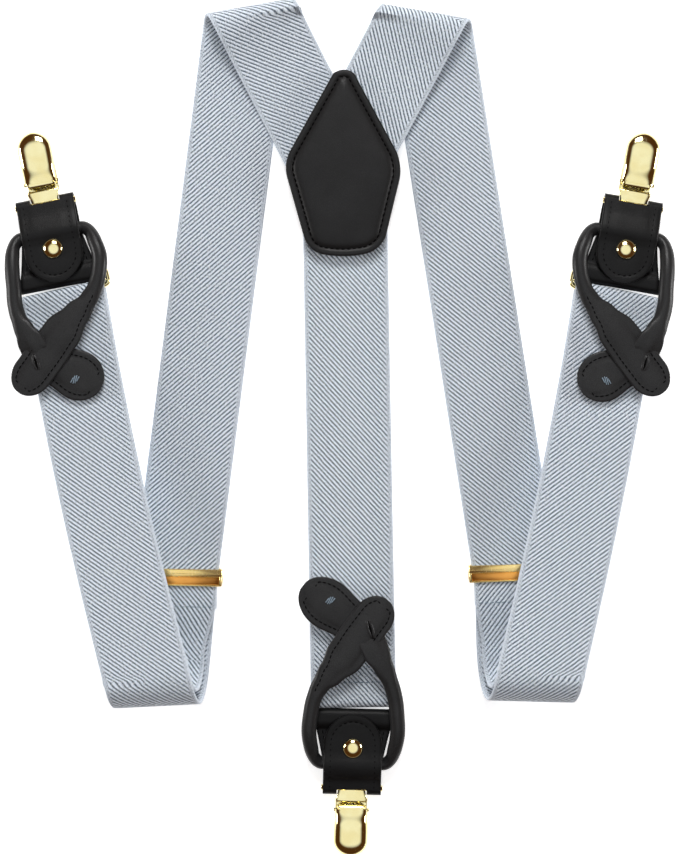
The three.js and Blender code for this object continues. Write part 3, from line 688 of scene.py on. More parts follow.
def return_height(t):
    return front_height(t) - mix(2 * RING_WRAP_R, LAYER_STEP, smooth(t, 0, 0.2))


def side_legs(side):
    rise = REAR_LEG_Z + 2 * TOP_FOLD_R - side["patch_z"]
    v_length, rear_length, front_length, return_length = side["lengths"]

    def bow(t):
        return side["bow"] * math.sin(PI * t)

    return [
        dict(length=v_length, height=lambda t: side["patch_z"] + rise * t ** 4,
             turn=(side["rear_lean"], TOP_FOLD_R, -1)),
        dict(length=rear_length, height=lambda t: REAR_LEG_Z,
             shift=lambda t: side["sway"] * smooth(t, 0.84, 1), turn=(side["front_lean"], BOTTOM_LOOP_R, 1)),
        dict(length=front_length, height=lambda t: front_height(1 - t), shift=bow,
             turn=(side["front_lean"] + 180, RING_WRAP_R, -1)),
        dict(length=return_length, height=return_height, shift=bow,
             turn=(side["rear_lean"] + 180, INNER_LOOP_R, -1)),
        dict(length=STRAP_END_LAP + JOIN_GAP, height=lambda t: REAR_LEG_Z + LAYER_STEP),
    ]


def centre_of(node):
    low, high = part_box(node)
    return (low + high) / 2 / MM


def joint_named(name):
    return next(j for j in frame["joints"] if j["name"] == name)


paths = {name: make_path(side["start"], side["v_lean"], side_legs(side)) for name, side in SIDES.items()}
CENTRE_START, CENTRE_LEAN, CENTRE_PATCH_Z = (5.4, 84.0), 181.0, 3.1
CENTRE_LENGTH, CENTRE_HEM = 199.6, 11.0
centre_path = make_path(CENTRE_START, CENTRE_LEAN, [
    dict(length=CENTRE_LENGTH, height=lambda t: CENTRE_PATCH_Z + (RING_TOP_Z - CENTRE_PATCH_Z) * t ** 2,
         turn=(CENTRE_LEAN - 180, RING_WRAP_R, -1)),
    dict(length=CENTRE_HEM, height=lambda t: RING_LOW_Z),
])
ring_leg = paths["left"][2]
ring_middle = ring_leg["fold"] + ring_leg["direction"] * RING_HALF[1]
known = centre_of("strap_ring_left")
SHIFT = Vector((known.x - ring_middle.x, known.y - ring_middle.y, 0))


def shifted(point):
    return Vector(point) + SHIFT


for name, path in paths.items():
    turn_over = path[0]["end"] + path[0]["run"] / 2

    def hand_of(along, name=name, turn_over=turn_over):
        return 1.0 if name == "left" or along < turn_over else -1.0

    strap = webbing_solid(path, WEB_WIDTH, WEB_THICK, hand_of).moved(shifted)
    piece = strap.finish(f"webbing_{name}", webbing, "root", "webbing", 60)
    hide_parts(f"strap_{name}")

strap = webbing_solid(centre_path, WEB_WIDTH, WEB_THICK, lambda along: 1.0).moved(shifted)
piece = strap.finish("webbing_centre", webbing, "root", "webbing", 60)
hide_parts("strap_centre")


def seam_across(name, path, along, half, thick, body, place, slant=0.0):
    """A row of grey thread right across the webbing's upper side."""
    line, ups = [], []
    for u in steps(-1, 1, 24):
        here, up = strap_surface(path, along + slant * u * half, u * half)
        if up.z < 0:
            up = -up
        line.append(here + up * (thick / 2 + 0.04))
        ups.append(up)
    return stitches(name, line, ups, body, "webbing", web_thread, 2.3, 1.7, 0.24, place)


seam_across("hem_stitches_centre", centre_path, 192.0, 16.2, WEB_THICK, "root", shifted)


# ---------- slide adjusters ----------
def make_adjuster(name, side):
    body = f"adjuster_{name}"
    bar = centre_of(f"adjuster_bar_{name}")
    turn = Matrix.Rotation(math.radians(side["slide_lean"]), 3, "Z")

    def place(point):
        moved = turn @ Vector(point)
        return Vector((moved.x + bar.x, moved.y + bar.y, moved.z))

    half = SLIDE_LENGTH / 2
    wall = 1.1

    def bar_box(solid, x0, x1, y0, y1, z0, z1, soft=0.16):
        """A bar with softened long edges."""
        corner = [(y0 + soft, z0), (y1 - soft, z0), (y1, z0 + soft), (y1, z1 - soft),
                  (y1 - soft, z1), (y0 + soft, z1), (y0, z1 - soft), (y0, z0 + soft)]
        xs = (x0, x0 + soft, x1 - soft, x1)
        rings = []
        for k, x in enumerate(xs):
            pull = soft if k in (0, 3) else 0.0
            yc, zc = (y0 + y1) / 2, (z0 + z1) / 2
            rings.append([(x, y + math.copysign(pull, yc - y) * 0.6, z + math.copysign(pull, zc - z) * 0.6)
                          for y, z in corner])
        solid.rings(rings)

    solid = Solid()
    bar_box(solid, -SLIDE_HALF, SLIDE_HALF, -half, half, 0.12, 0.7)
    for sign in (-1, 1):
        x0, x1 = sorted((sign * SLIDE_HALF, sign * (SLIDE_HALF - wall)))
        bar_box(solid, x0, x1, -half, -half + 1.1, 0.3, SLIDE_TOP_Z + 0.5)
        bar_box(solid, x0, x1, half - 1.1, half, 0.3, SLIDE_TOP_Z + 0.9)
        bar_box(solid, x0 + 0.1, x1 - 0.1, -half + 0.5, half - 0.5, 0.3, SLIDE_BAR_Z - 1.0)
        bar_box(solid, x0 + 0.1, x1 - 0.1, -half + 0.5, half - 0.5, SLIDE_BAR_Z + 1.0, SLIDE_TOP_Z + 0.6)
    bar_box(solid, -SLIDE_HALF, SLIDE_HALF, 0.25, half, SLIDE_TOP_Z, SLIDE_TOP_Z + 1.1, 0.3)
    bar_box(solid, -SLIDE_HALF + 0.2, SLIDE_HALF - 0.2, 1.55, 1.75,
            SLIDE_TOP_Z + 1.0, SLIDE_TOP_Z + 1.22, 0.08)
    bar_box(solid, -SLIDE_HALF, SLIDE_HALF, -half, -half + 0.75, SLIDE_TOP_Z, SLIDE_TOP_Z + 1.0, 0.25)
    for sign in (-1, 1):
        x0, x1 = sorted((sign * SLIDE_HALF, sign * (SLIDE_HALF - 1.0)))
        bar_box(solid, x0, x1, -half + 0.2, 0.8, SLIDE_TOP_Z + 0.1, SLIDE_TOP_Z + 1.05, 0.25)
    piece = solid.moved(place).finish(f"slide_frame_{name}", slide_gold, body, "gold", 40)
    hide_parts(f"adjuster_frame_{name}")

    # painted shade: a deeper orange gilt strip sunk between the front lip and the top plate stands in for the
    # shade there
    recess = Solid()
    bar_box(recess, -SLIDE_HALF + 0.9, SLIDE_HALF - 0.9, -half + 0.6, 0.4,
            SLIDE_TOP_Z + 0.05, SLIDE_TOP_Z + 0.5, 0.1)
    recess.moved(place).finish(f"slide_recess_{name}", slide_shaded_gilt, body, "gold", 40)

    rod = Solid()
    reach = SLIDE_HALF - 0.3
    rod.rod((-reach, 0, SLIDE_BAR_Z), (reach, 0, SLIDE_BAR_Z), SLIDE_BAR_R)
    piece = rod.moved(place).finish(f"slide_bar_{name}", slide_gold, body, "gold", 40)
    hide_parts(f"adjuster_bar_{name}")

    # the webbing's sewn end, over the bar and back under it
    wrap = SLIDE_BAR_R + GAP / 2 + END_WEB_THICK / 2
    low = REAR_LEG_Z + LAYER_STEP + 0.05
    climb = SLIDE_BAR_Z + wrap - low
    last = paths[name][-1]
    end = last["origin"] + last["direction"] * (last["length"] - JOIN_GAP) + SHIFT.xy
    tail = (end - Vector((bar.x, bar.y))).dot(across2(heading(side["slide_lean"])))
    skew = (side["rear_lean"] - side["slide_lean"] + 270) % 180 - 90
    start_slant = math.tan(math.radians(skew))
    end_path = make_path((0, -STRAP_END_LENGTH), 0, [
        dict(length=STRAP_END_LENGTH, height=lambda t: low + climb * smooth(t, 0.1, 0.7),
             shift=lambda t: tail * (1 - smooth(t, 0, 0.75)), turn=(180, wrap, -1)),
        dict(length=STRAP_END_TUCK, height=lambda t: SLIDE_BAR_Z - wrap),
    ])
    hand = 1.0 if name == "left" else -1.0
    strap_end = webbing_solid(end_path, WEB_WIDTH - 0.4, END_WEB_THICK, lambda along: hand, 2.0, 14,
                              start_slant)
    piece = strap_end.moved(place).finish(f"sewn_end_{name}", webbing, body, "webbing", 60)
    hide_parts(f"strap_end_{name}")
    seam_across(f"sewn_end_stitches_{name}", end_path, STRAP_END_LENGTH - 12.0, 16.2, END_WEB_THICK,
                body, place)


for name, side in SIDES.items():
    make_adjuster(name, side)


# ---------- back patch ----------
def patch_outline():
    """The patch's outline round its own centre: straight sides, rounded corners."""
    wide, top, bottom = 23.6, 39.4, -37.4
    points = []

    def quad(p0, p1, p2, count=10):
        for t in steps(0, 1, count)[:-1]:
            a = (mix(p0[0], p1[0], t), mix(p0[1], p1[1], t))
            b = (mix(p1[0], p2[0], t), mix(p1[1], p2[1], t))
            points.append((mix(a[0], b[0], t), mix(a[1], b[1], t)))

    def line(p0, p1, count=14):
        for t in steps(0, 1, count)[:-1]:
            points.append((mix(p0[0], p1[0], t), mix(p0[1], p1[1], t)))

    a, b = (-4, top - 1.6), (4.6, top - 1.8)
    quad(a, (0.6, top + 1.4), b)
    c = (wide - 1.4, 5.2)
    line(b, c)
    d = (wide - 0.2, -5.4)
    quad(c, (wide + 0.6, -0.8), d)
    e = (17.6, bottom + 8)
    line(d, e, 10)
    f = (8.6, bottom + 0.7)
    quad(e, (15, bottom + 2.2), f)
    g = (-8.8, bottom + 0.7)
    quad(f, (0, bottom - 0.9), g)
    h = (-16.2, bottom + 8)
    quad(g, (-14.4, bottom + 2.2), h)
    i = (-wide + 0.2, -3.8)
    line(h, i, 10)
    j = (-wide + 1.4, 5.2)
    quad(i, (-wide - 0.6, 0.4), j)
    line(j, a)
    return [Vector(p) for p in points]


def inset_outline(outline, inset):
    """The outline moved inward by inset along its own normals; its points run clockwise."""
    total = len(outline)
    moved = []
    for k, point in enumerate(outline):
        ahead = (outline[(k + 2) % total] - outline[k - 2]).normalized()
        moved.append(point + Vector((ahead.y, -ahead.x)) * inset)
    return moved


EVEN_INSET, PATCH_HALF = 6.0, 23.0


def patch_solid(z0, top_levels, bottom_edge=0.3):
    outline = patch_outline()
    low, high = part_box("back_patch_rear")
    own_low = min(p.y for p in outline), (min(p.x for p in outline) + max(p.x for p in outline)) / 2
    centre = Vector(((low.x + high.x) / 2 / MM - own_low[1], low.y / MM - own_low[0]))
    solid = Solid()
    rings = []
    for inset, z in [(bottom_edge, z0), (0.0, z0 + bottom_edge)] + top_levels:
        if inset <= EVEN_INSET:
            ring = inset_outline(outline, inset)
        else:
            share = (PATCH_HALF - inset) / (PATCH_HALF - EVEN_INSET)
            ring = [p * share for p in inset_outline(outline, EVEN_INSET)]
        rings.append([(p.x + centre.x, p.y + centre.y, z) for p in ring])
    solid.rings(rings)
    return solid, [p + centre for p in inset_outline(outline, STITCH_INSET)]


PATCH_FRONT_Z, PATCH_THICK = 6.6, 1.8
top = PATCH_FRONT_Z + PATCH_THICK
levels = [
    # the turned edge, the seam's groove and the cushioned middle: (inset, height)
    (0.0, top - 0.5), (0.25, top - 0.12), (0.7, top), (1.7, top + 0.05), (2.35, top - 0.12),
    (2.7, top - 0.42), (2.9, top - 0.5), (3.1, top - 0.42), (3.6, top - 0.05),
    (4.4, top + 0.3), (5.6, top + 0.55), (7.2, top + 0.72), (8.6, top + 0.84), (11.0, top + 0.98),
    (14.0, top + 1.1), (17.5, top + 1.18), (20.5, top + 1.22), (22.6, top + 1.23),
]
front, seam = patch_solid(PATCH_FRONT_Z, levels)
piece = front.finish("patch_front", patch_leather, "root", "leather", 60)
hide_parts("back_patch_front")
rear_levels = [(0.0, PATCH_THICK - 0.3), (0.3, PATCH_THICK), (6.0, PATCH_THICK), (22.0, PATCH_THICK)]
rear, _ = patch_solid(0.0, rear_levels)
piece = rear.finish("patch_rear", patch_leather, "root", "leather", 60)
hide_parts("back_patch_rear")
ring = [Vector((p.x, p.y, top - 0.42)) for p in seam]
ring.append(ring[0])
stitches("patch_stitches", ring, [(0, 0, 1)] * len(ring), "root", "leather", black_thread_and_slit_shade, 2.3, 1.75, 0.26)


# ---------- the hardware on one strap end ----------
class End:
    """One end's frame: x across, y outward to the clip's tip, z up, in millimetres."""

    def __init__(self, name, hand, lean, drop, fold, clip_length):
        self.name, self.hand = name, hand
        self.lean, self.drop = math.radians(lean), drop
        self.fold, self.tip = fold, fold + clip_length
        self.bar, self.bend, self.pin = fold - BAR_R - GAP - LEATHER, fold - 5, fold + 6.2
        centre = centre_of(f"strap_ring_{name}")
        self.origin = Vector((centre.x, centre.y, 0))
        axis = Vector(joint_named(f"lever_hinge_{name}")["axis"])
        self.x = axis.normalized()
        self.y = Vector((0, 0, 1)).cross(self.x)

    def place(self, point):
        return self.origin + self.x * point[0] + self.y * point[1] + Vector((0, 0, point[2]))

    def mirror_place(self, point):
        return self.place((point[0] * self.hand, point[1], point[2]))

    def metres(self, point):
        return self.place(point) * MM


def make_ring(end):
    solid = Solid()
    count, power = 120, 0.3
    points = []
    for a in steps(0, 2 * PI, count)[:-1]:
        cx, cy = math.cos(a), math.sin(a)
        points.append(Vector((
            RING_HALF[0] * math.copysign(abs(cx) ** power, cx),
            RING_HALF[1] * math.copysign(abs(cy) ** power, cy),
            END_Z,
        )))
    even = []
    spacing = 0.9
    for a, b in zip(points, points[1:] + points[:1]):
        parts = max(1, round((b - a).length / spacing))
        even += [a.lerp(b, k / parts) for k in range(parts)]
    solid.tube(even, RING_WIRE / 2, 14, True)
    lean = {"left": 12.9 - 11, "right": -12.0 + 10.0, "back": 181.0 - 178.6}[end.name]
    spin = Matrix.Rotation(math.radians(lean), 3, "Z")
    solid.moved(lambda p: end.place(spin @ p))
    piece = solid.finish(f"ring_{end.name}", gold, "root", "gold", 60)
    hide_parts(f"strap_ring_{end.name}")


def arc(cy, cz, radius, a0, a1, count):
    return [(cy + radius * math.cos(a), cz + radius * math.sin(a)) for a in steps(a0, a1, count)]


def quad_curve(p0, p1, p2, count=7):
    out = []
    for t in steps(0, 1, count)[1:]:
        a = (mix(p0[0], p1[0], t), mix(p0[1], p1[1], t))
        b = (mix(p1[0], p2[0], t), mix(p1[1], p2[1], t))
        out.append((mix(a[0], b[0], t), mix(a[1], b[1], t)))
    return out


def holder_loops():
    """The holder's side outline, with its openings for the ring's bar and the rolled loop."""
    bar_y = RING_HALF[1]
    inner = RING_WIRE / 2 + GAP
    outer, flat = inner + LEATHER, LEATHER + 0.1
    channel = CORD_R + 0.3
    bulge = CORD_R + 1.3
    near, far = bar_y - RING_PLAY - 0.45, bar_y + RING_PLAY
    ring = [(far, END_Z - outer)]
    ring += quad_curve((far, END_Z - outer), (bar_y + 2.8, END_Z - outer), (bar_y + 4.5, END_Z - flat))
    ring += [(y, END_Z - flat) for y in steps(bar_y + 5.5, CHANNEL_Y - 7, 5)]
    below = (CHANNEL_Y - 2.6, END_Z - 2.9)
    ring += quad_curve((CHANNEL_Y - 7, END_Z - flat), (CHANNEL_Y - 4, END_Z - flat), below)
    ring += arc(CHANNEL_Y, END_Z, bulge, PI + 0.84, 3 * PI - 0.84, 28)
    low = (CHANNEL_Y - 2.6, END_Z + 2.9)
    ring += quad_curve(low, (CHANNEL_Y - 4, END_Z + flat), (CHANNEL_Y - 7, END_Z + flat))
    ring += [(y, END_Z + flat) for y in steps(CHANNEL_Y - 9, bar_y + 4.5, 5)]
    ring += quad_curve((bar_y + 4.5, END_Z + flat), (bar_y + 2.8, END_Z + outer), (far, END_Z + outer))
    ring += arc(near, END_Z, outer, PI / 2, 1.5 * PI, 12)
    slot = arc(far, END_Z, inner, PI / 2, -PI / 2, 10) + arc(near, END_Z, inner, -PI / 2, -1.5 * PI, 10)
    cord = arc(CHANNEL_Y, END_Z, channel, 0, 2 * PI, 28)[:-1]
    return [ring, slot, cord]


def make_holder(end):
    wide, narrow = 17.0, 11.2
    full = CHANNEL_Y + CORD_R + 1.3
    middle_y = 11.0

    def station(u, pull):
        def x_of(p):
            return u * mix(wide, narrow, p[0] / full)

        def move(p):
            y = p[0] + math.copysign(pull, middle_y - p[0]) * 0.5
            return (y, p[1] + math.copysign(pull, END_Z - p[1]) * 0.5)

        return x_of, move

    places = [station(-1, 0.3), station(-0.985, 0)] + [station(u, 0) for u in steps(-0.9, 0.9, 6)]
    places += [station(0.985, 0), station(1, 0.3)]
    solid = Solid()
    solid.profile(holder_loops(), places)
    solid.moved(end.place)
    piece = solid.finish(f"holder_leather_{end.name}", tab_leather, "root", "leather", 50)
    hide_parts(f"holder_{end.name}")
    for sign in (-1, 1):
        line = [(sign * (mix(wide, narrow, y / full) - 2.4), y, END_Z + LEATHER + 0.12)
                for y in steps(8.4, 15.4, 4)]
        suffix = "a" if sign < 0 else "b"
        stitches(f"holder_stitches_{suffix}_{end.name}", line, [(0, 0, 1)] * len(line), "root", "leather",
                 black_thread_and_slit_shade, 2.1, 1.6, 0.22, end.place)


def make_tab(end):
    """The tab's sewn back, from under the holder round the clip's crossbar."""
    inner = BAR_R + GAP
    outer = inner + LEATHER
    bar = end.bar
    ring = [(9, 0.15)] + [(y, 0.15) for y in steps(13, bar - 5, 5)]
    ring += quad_curve((bar - 5, 0.15), (bar - 2.5, 0.3), (bar, END_Z - outer))
    ring += arc(bar, END_Z, outer, -PI / 2, PI / 2, 16)[1:]
    ring += [(end.bend + 0.9, END_Z + outer), (end.bend + 0.9, END_Z + inner)]
    ring += arc(bar, END_Z, inner, PI / 2, -PI / 2, 12)
    ring += quad_curve((bar, END_Z - inner), (bar - 2.5, 1.6), (bar - 5, 1.35))
    ring += [(y, 1.35) for y in steps(bar - 7, 9, 6)]
    solid = Solid()

    def station(x):
        return (lambda p: x), (lambda p: p)

    gap = 6.2
    for sign in (-1, 1):
        solid.profile([ring], [station(sign * x) for x in (gap, gap + 0.3, 9, TAB_HALF - 0.25, TAB_HALF)])
    back = [p for p in ring if not (p[0] > bar + 0.5)]
    lower = [p for p in back if p[1] < END_Z - 1]
    solid.profile([lower], [station(x) for x in (-gap - 0.05, 0, gap + 0.05)])
    solid.moved(end.place)
    piece = solid.finish(f"tab_back_{end.name}", tab_leather, "root", "leather", 50)
    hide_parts(f"clip_tab_{end.name}")


def flap_middle(end):
    z = END_Z
    return [(0, end.bar + 0.2, z + 2.1), (0, mix(end.bend, 26.2, 0.45), z + 2.95), (0, 26.2, z + 4.1),
            (0, CHANNEL_Y, z + 4.85), (0, 19.6, z + 4.25), (0, 17.6, z + 3.85), (0, SNAP_Y, z + FLAP_SNAP_Z),
            (0, 12, z + 3.8), (0, 7, z + 3.9), (0, TAB_END_Y, z + 4.1)]


def make_flap(end):
    middle = flap_middle(end)
    columns = edge_columns(16, 3, 0.05)
    round_y = TAB_END_Y + TAB_HALF

    def frame_at(v):
        here = catmull(middle, v)
        ahead = (catmull(middle, min(1, v + 0.004)) - catmull(middle, max(0, v - 0.004))).normalized()
        return here, Vector((0, ahead.z, -ahead.y))

    def half_at(y):
        beyond = max(0.0, (round_y - y) / TAB_HALF)
        return TAB_HALF * math.sqrt(max(0.0004, 1 - min(1.0, beyond) ** 2))

    def raise_(x, y):
        """Rim, seam groove and cushioned middle, by the distance from the flap's edge."""
        if y < round_y:
            distance = TAB_HALF - math.hypot(x, round_y - y)
        else:
            distance = TAB_HALF - abs(x)
        groove = math.exp(-((distance - STITCH_INSET) / 0.5) ** 2)
        dish = math.exp(-(math.hypot(x, y - SNAP_Y) / 4.6) ** 4)
        return 0.12 * smooth(distance, 0, 1.2) - 0.24 * groove + 0.12 * smooth(distance, 3.2, 7) - 0.22 * dish

    def place(row, u, side):
        here, up = frame_at(row)
        half = half_at(here.y)
        x = -u * half
        lift = side * LEATHER / 2
        if side > 0:
            lift += side * raise_(x, here.y)
        return Vector((x, here.y, here.z)) + up * lift

    solid = Solid()
    rows = steps(0, 0.9, 60) + [mix(0.9, 1.0, math.sin(a)) for a in steps(0, PI / 2, 16)[1:]]
    solid.slab(rows, columns, place)
    solid.moved(end.place)
    piece = solid.finish(f"flap_leather_{end.name}", tab_leather, None, "leather", 55)
    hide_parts(f"tab_flap_{end.name}")
    start, stop = end.metres((0, end.bend + 3.0, END_Z)), end.metres((0, end.bend - 3.2, END_Z))
    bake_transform(piece)
    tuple(start)
    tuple(stop)

    line = []
    inset = TAB_HALF - STITCH_INSET

    def seam_point(x, y):
        best = min(steps(0, 1, 240), key=lambda v: abs(catmull(middle, v).y - y))
        here, up = frame_at(best)
        return Vector((x, y, here.z)) + up * (LEATHER / 2 + raise_(x, y) - 0.03), up

    for y in steps(end.fold - 2.5, round_y, 26):
        line.append((-inset, y))
    for a in steps(PI, 2 * PI, 26)[1:-1]:
        line.append((inset * math.cos(a), round_y + inset * math.sin(a)))
    for y in steps(round_y, end.fold - 2.5, 26):
        line.append((inset, y))
    found = [seam_point(x, y) for x, y in line]
    row = [end.place(p) for p, _ in found]
    ups = [end.place(p + n) - end.place(p) for p, n in found]
    thread = stitches(f"flap_stitches_{end.name}", row, ups, None, "leather", black_thread_and_slit_shade, 2.2, 1.6, 0.24)
    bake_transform(thread)
    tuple(start)
    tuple(stop)

    cap = Solid()
    z = END_Z + FLAP_SNAP_Z + LEATHER / 2 + 0.02
    profile = [(0, -1.9), (1.6, -1.9), (1.6, 0.0), (3.9, 0.05), (4.05, 0.2), (4.08, 0.45), (3.95, 0.75),
               (3.6, 1.1), (3.1, 1.42), (2.5, 1.68), (1.8, 1.88), (1.1, 2.0), (0.4, 2.05), (0.02, 2.06)]
    cap.lathe(profile, (0, SNAP_Y, z))
    cap.moved(end.place)
    piece = cap.finish(f"snap_{end.name}", gold, f"flap_{end.name}", "gold", 50)
    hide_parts(f"snap_cap_{end.name}")


# ---------- rolled leather button loop ----------
def make_loop(end):
    shear = math.tan(end.lean)

    def warp(x, y, z):
        below = max(0.0, 6 - y)
        return Vector((x + shear * below * end.drop, y + below * (1 - end.drop), z))

    # stations: (x, y, z, half width, half thickness, roll in degrees)
    front_ear = [
        (17.3, 15.2, 8.8, 3.0, 2.6, 0), (18.2, 9, 10.4, 3.1, 2.6, 0), (17.7, 2, 11.1, 3.1, 2.6, 0),
        (16.4, -4.5, 11.5, 3.2, 2.4, 0), (13.7, -10.2, 12.0, 3.8, 2.0, 0), (9.4, -15.6, 12.8, 5.6, 1.5, 0),
        (4.0, -22.4, 13.3, 8.0, 1.2, 0), (-1.8, -30.6, 13.5, 8.3, 1.0, 0), (-7.8, -38.9, 13.6, 8.2, 0.95, 0),
        (-13.6, -45.9, 13.6, 8.0, 0.95, 0),
    ]
    rear_ear = [
        (-17.3, 15.2, 8.8, 3.0, 2.6, 0), (-18.2, 9, 10.4, 3.1, 2.6, 0), (-17.9, 2, 11.1, 3.1, 2.6, 0),
        (-17.0, -5, 11.6, 3.2, 2.5, 0), (-15.0, -12, 12.5, 3.3, 2.2, 0), (-12.0, -18.4, 13.4, 4.2, 1.8, 4),
        (-9.0, -24.4, 13.7, 5.6, 1.4, 8), (-6.0, -30.4, 13.0, 5.8, 1.15, 12), (1.6, -36.6, 11.9, 8.6, 0.8, 0),
        (11.4, -43.6, 11.8, 10.3, 0.8, 0), (21.6, -51.1, 11.9, 10.2, 0.8, 0),
    ]
    corner = [(15.8, 20.0, 6.5), (13.5, 22.2, 5.5), (11.4, CHANNEL_Y, END_Z), (8, CHANNEL_Y, END_Z)]
    cord_part = [(x, y, z, CORD_R, CORD_R, 0) for x, y, z in corner]
    across = [(x, CHANNEL_Y, END_Z, CORD_R, CORD_R, 0) for x in (4, 0, -4)]
    whole = list(reversed(front_ear)) + cord_part + across
    whole += [(-x, y, z, w, t, r) for x, y, z, w, t, r in reversed(cord_part)] + rear_ear
    stations = [(*warp(*s[:3]), *s[3:]) for s in whole]
    last = len(stations) - 1
    sides = 28

    def at(t):
        points = [s[:3] for s in stations]
        here = catmull(points, t)
        eps = 0.25 / (last * 8)
        ahead = (catmull(points, min(1, t + eps)) - catmull(points, max(0, t - eps))).normalized()
        k = min(last - 1, int(t * last))
        w = t * last - k
        w = w * w * (3 - 2 * w)
        sizes = [mix(stations[k][i], stations[k + 1][i], w) for i in (3, 4, 5)]
        return here, ahead, sizes

    def ear_tip(t):
        """How the half width closes at both round ends."""
        from_end = min(t, 1 - t) * last
        reach = 1.0
        return math.sqrt(max(0.0009, 1 - max(0.0, 1 - from_end / reach) ** 2))

    def section(t):
        here, ahead, (half, thick, roll) = at(t)
        side = Vector((ahead.y, -ahead.x, 0))
        side = side.normalized() if side.length > 1e-6 else Vector((1, 0, 0))
        up = side.cross(ahead)
        if up.z < 0:
            up = -up
        turned = Matrix.Rotation(math.radians(roll), 3, ahead)
        side, up = turned @ side, turned @ up
        half *= ear_tip(t)
        flatness = smooth(half / max(thick, 0.1), 1.2, 3.0)
        power = mix(1.0, 0.42, flatness)
        ring = []
        for a in steps(0, 2 * PI, sides)[:-1]:
            c, s = math.cos(a), math.sin(a)
            x = half * math.copysign(abs(c) ** mix(1.0, 0.75, flatness), c)
            edge = half - abs(x)
            z = thick * math.copysign(abs(s) ** power, s)
            if flatness > 0.3 and s > 0:
                z -= 0.3 * flatness * math.exp(-((edge - 2.6) / 0.45) ** 2) * smooth(half, 5.0, 7.0)
                z += 0.45 * flatness * smooth(edge, 2.8, 6.5)
            ring.append(here + side * x + up * z)
        return ring

    fine = [0.5 - 0.5 * math.cos(a) for a in steps(0, PI, 60)]
    near_tip = [mix(0.0006, 0.06, f * f) for f in fine]
    spread_out = steps(0.0006, 0.9994, 230) + near_tip + [1 - v for v in near_tip]
    rows = sorted({round(v, 6) for v in spread_out})
    solid = Solid()
    solid.rings([section(t) for t in rows])
    solid.moved(end.mirror_place)
    piece = solid.finish(f"rolled_loop_{end.name}", loop_leather, f"loop_{end.name}", "rolled_leather", 75)
    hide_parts(f"button_loop_{end.name}")

    # the slit that the rear arm passes down through, with its pressed-up lips; its dark line is a black tube,
    # painted shade for the opening
    slit_parts = (("slit", 0.0, 0.5, black_thread_and_slit_shade), ("slit_lip_left", -0.95, 0.62, loop_leather),
                  ("slit_lip_right", 0.95, 0.62, loop_leather))
    for name, shift, radius, material in slit_parts:
        row = []
        for f in steps(0, 1, 16):
            spread = shift * math.sin(PI * mix(0.12, 0.88, f))
            x, y = mix(-7.4, -5.2, f) + spread, mix(-30.4, -38.0, f)
            row.append(Vector(warp(x, y, 14.8 - 0.6 * (2 * f - 1) ** 4)))
        seam = Solid()
        seam.tube(row, radius, 10)
        seam.moved(end.mirror_place)
        seam.finish(f"{name}_{end.name}", material, f"loop_{end.name}", "rolled_leather", 180)

    # stitches follow the flat parts' edges
    runs = {"front": (0.0112, {-1: 0.0795, 1: 0.178}), "rear": (0.9888, {-1: 0.93, 1: 0.93})}
    for which, (tip, reach) in runs.items():
        line, ups = [], []
        for edge in (-1, 1):
            row = []
            for t in steps(tip, reach[edge], 46):
                here, ahead, (half, thick, _) = at(t)
                side = Vector((ahead.y, -ahead.x, 0)).normalized()
                half *= ear_tip(t)
                row.append(here + side * edge * max(0.0, half - 2.6) + Vector((0, 0, thick + 0.02)))
            if edge == -1:
                row = list(reversed(row))
            line += row
            ups += [Vector((0, 0, 1))] * len(row)
        mirror = [end.mirror_place(p) for p in line]
        stitches(f"loop_stitches_{which}_{end.name}", mirror, ups, f"loop_{end.name}", "rolled_leather",
                 black_thread_and_slit_shade, 2.1, 1.5, 0.24)
    make_buttonhole(end, warp)


def make_buttonhole(end, warp):
    """Light threads seen through the small worked hole in the rear ear."""
    centre = warp(10.2, -45.2, 0)
    solid = Solid()
    for k in range(4):
        x = centre.x + (k - 1.5) * 0.8
        reach = 0.9 if k in (0, 3) else 1.5
        bar = [Vector((x + w * 0.7, centre.y + w * reach, 13.1 + 0.12 * (1 - w * w)))
               for w in steps(-1, 1, 6)]
        solid.tube(bar, 0.22, 8)
    solid.moved(end.mirror_place)
    solid.finish(f"buttonhole_threads_{end.name}", web_thread, f"loop_{end.name}", "rolled_leather", 180)


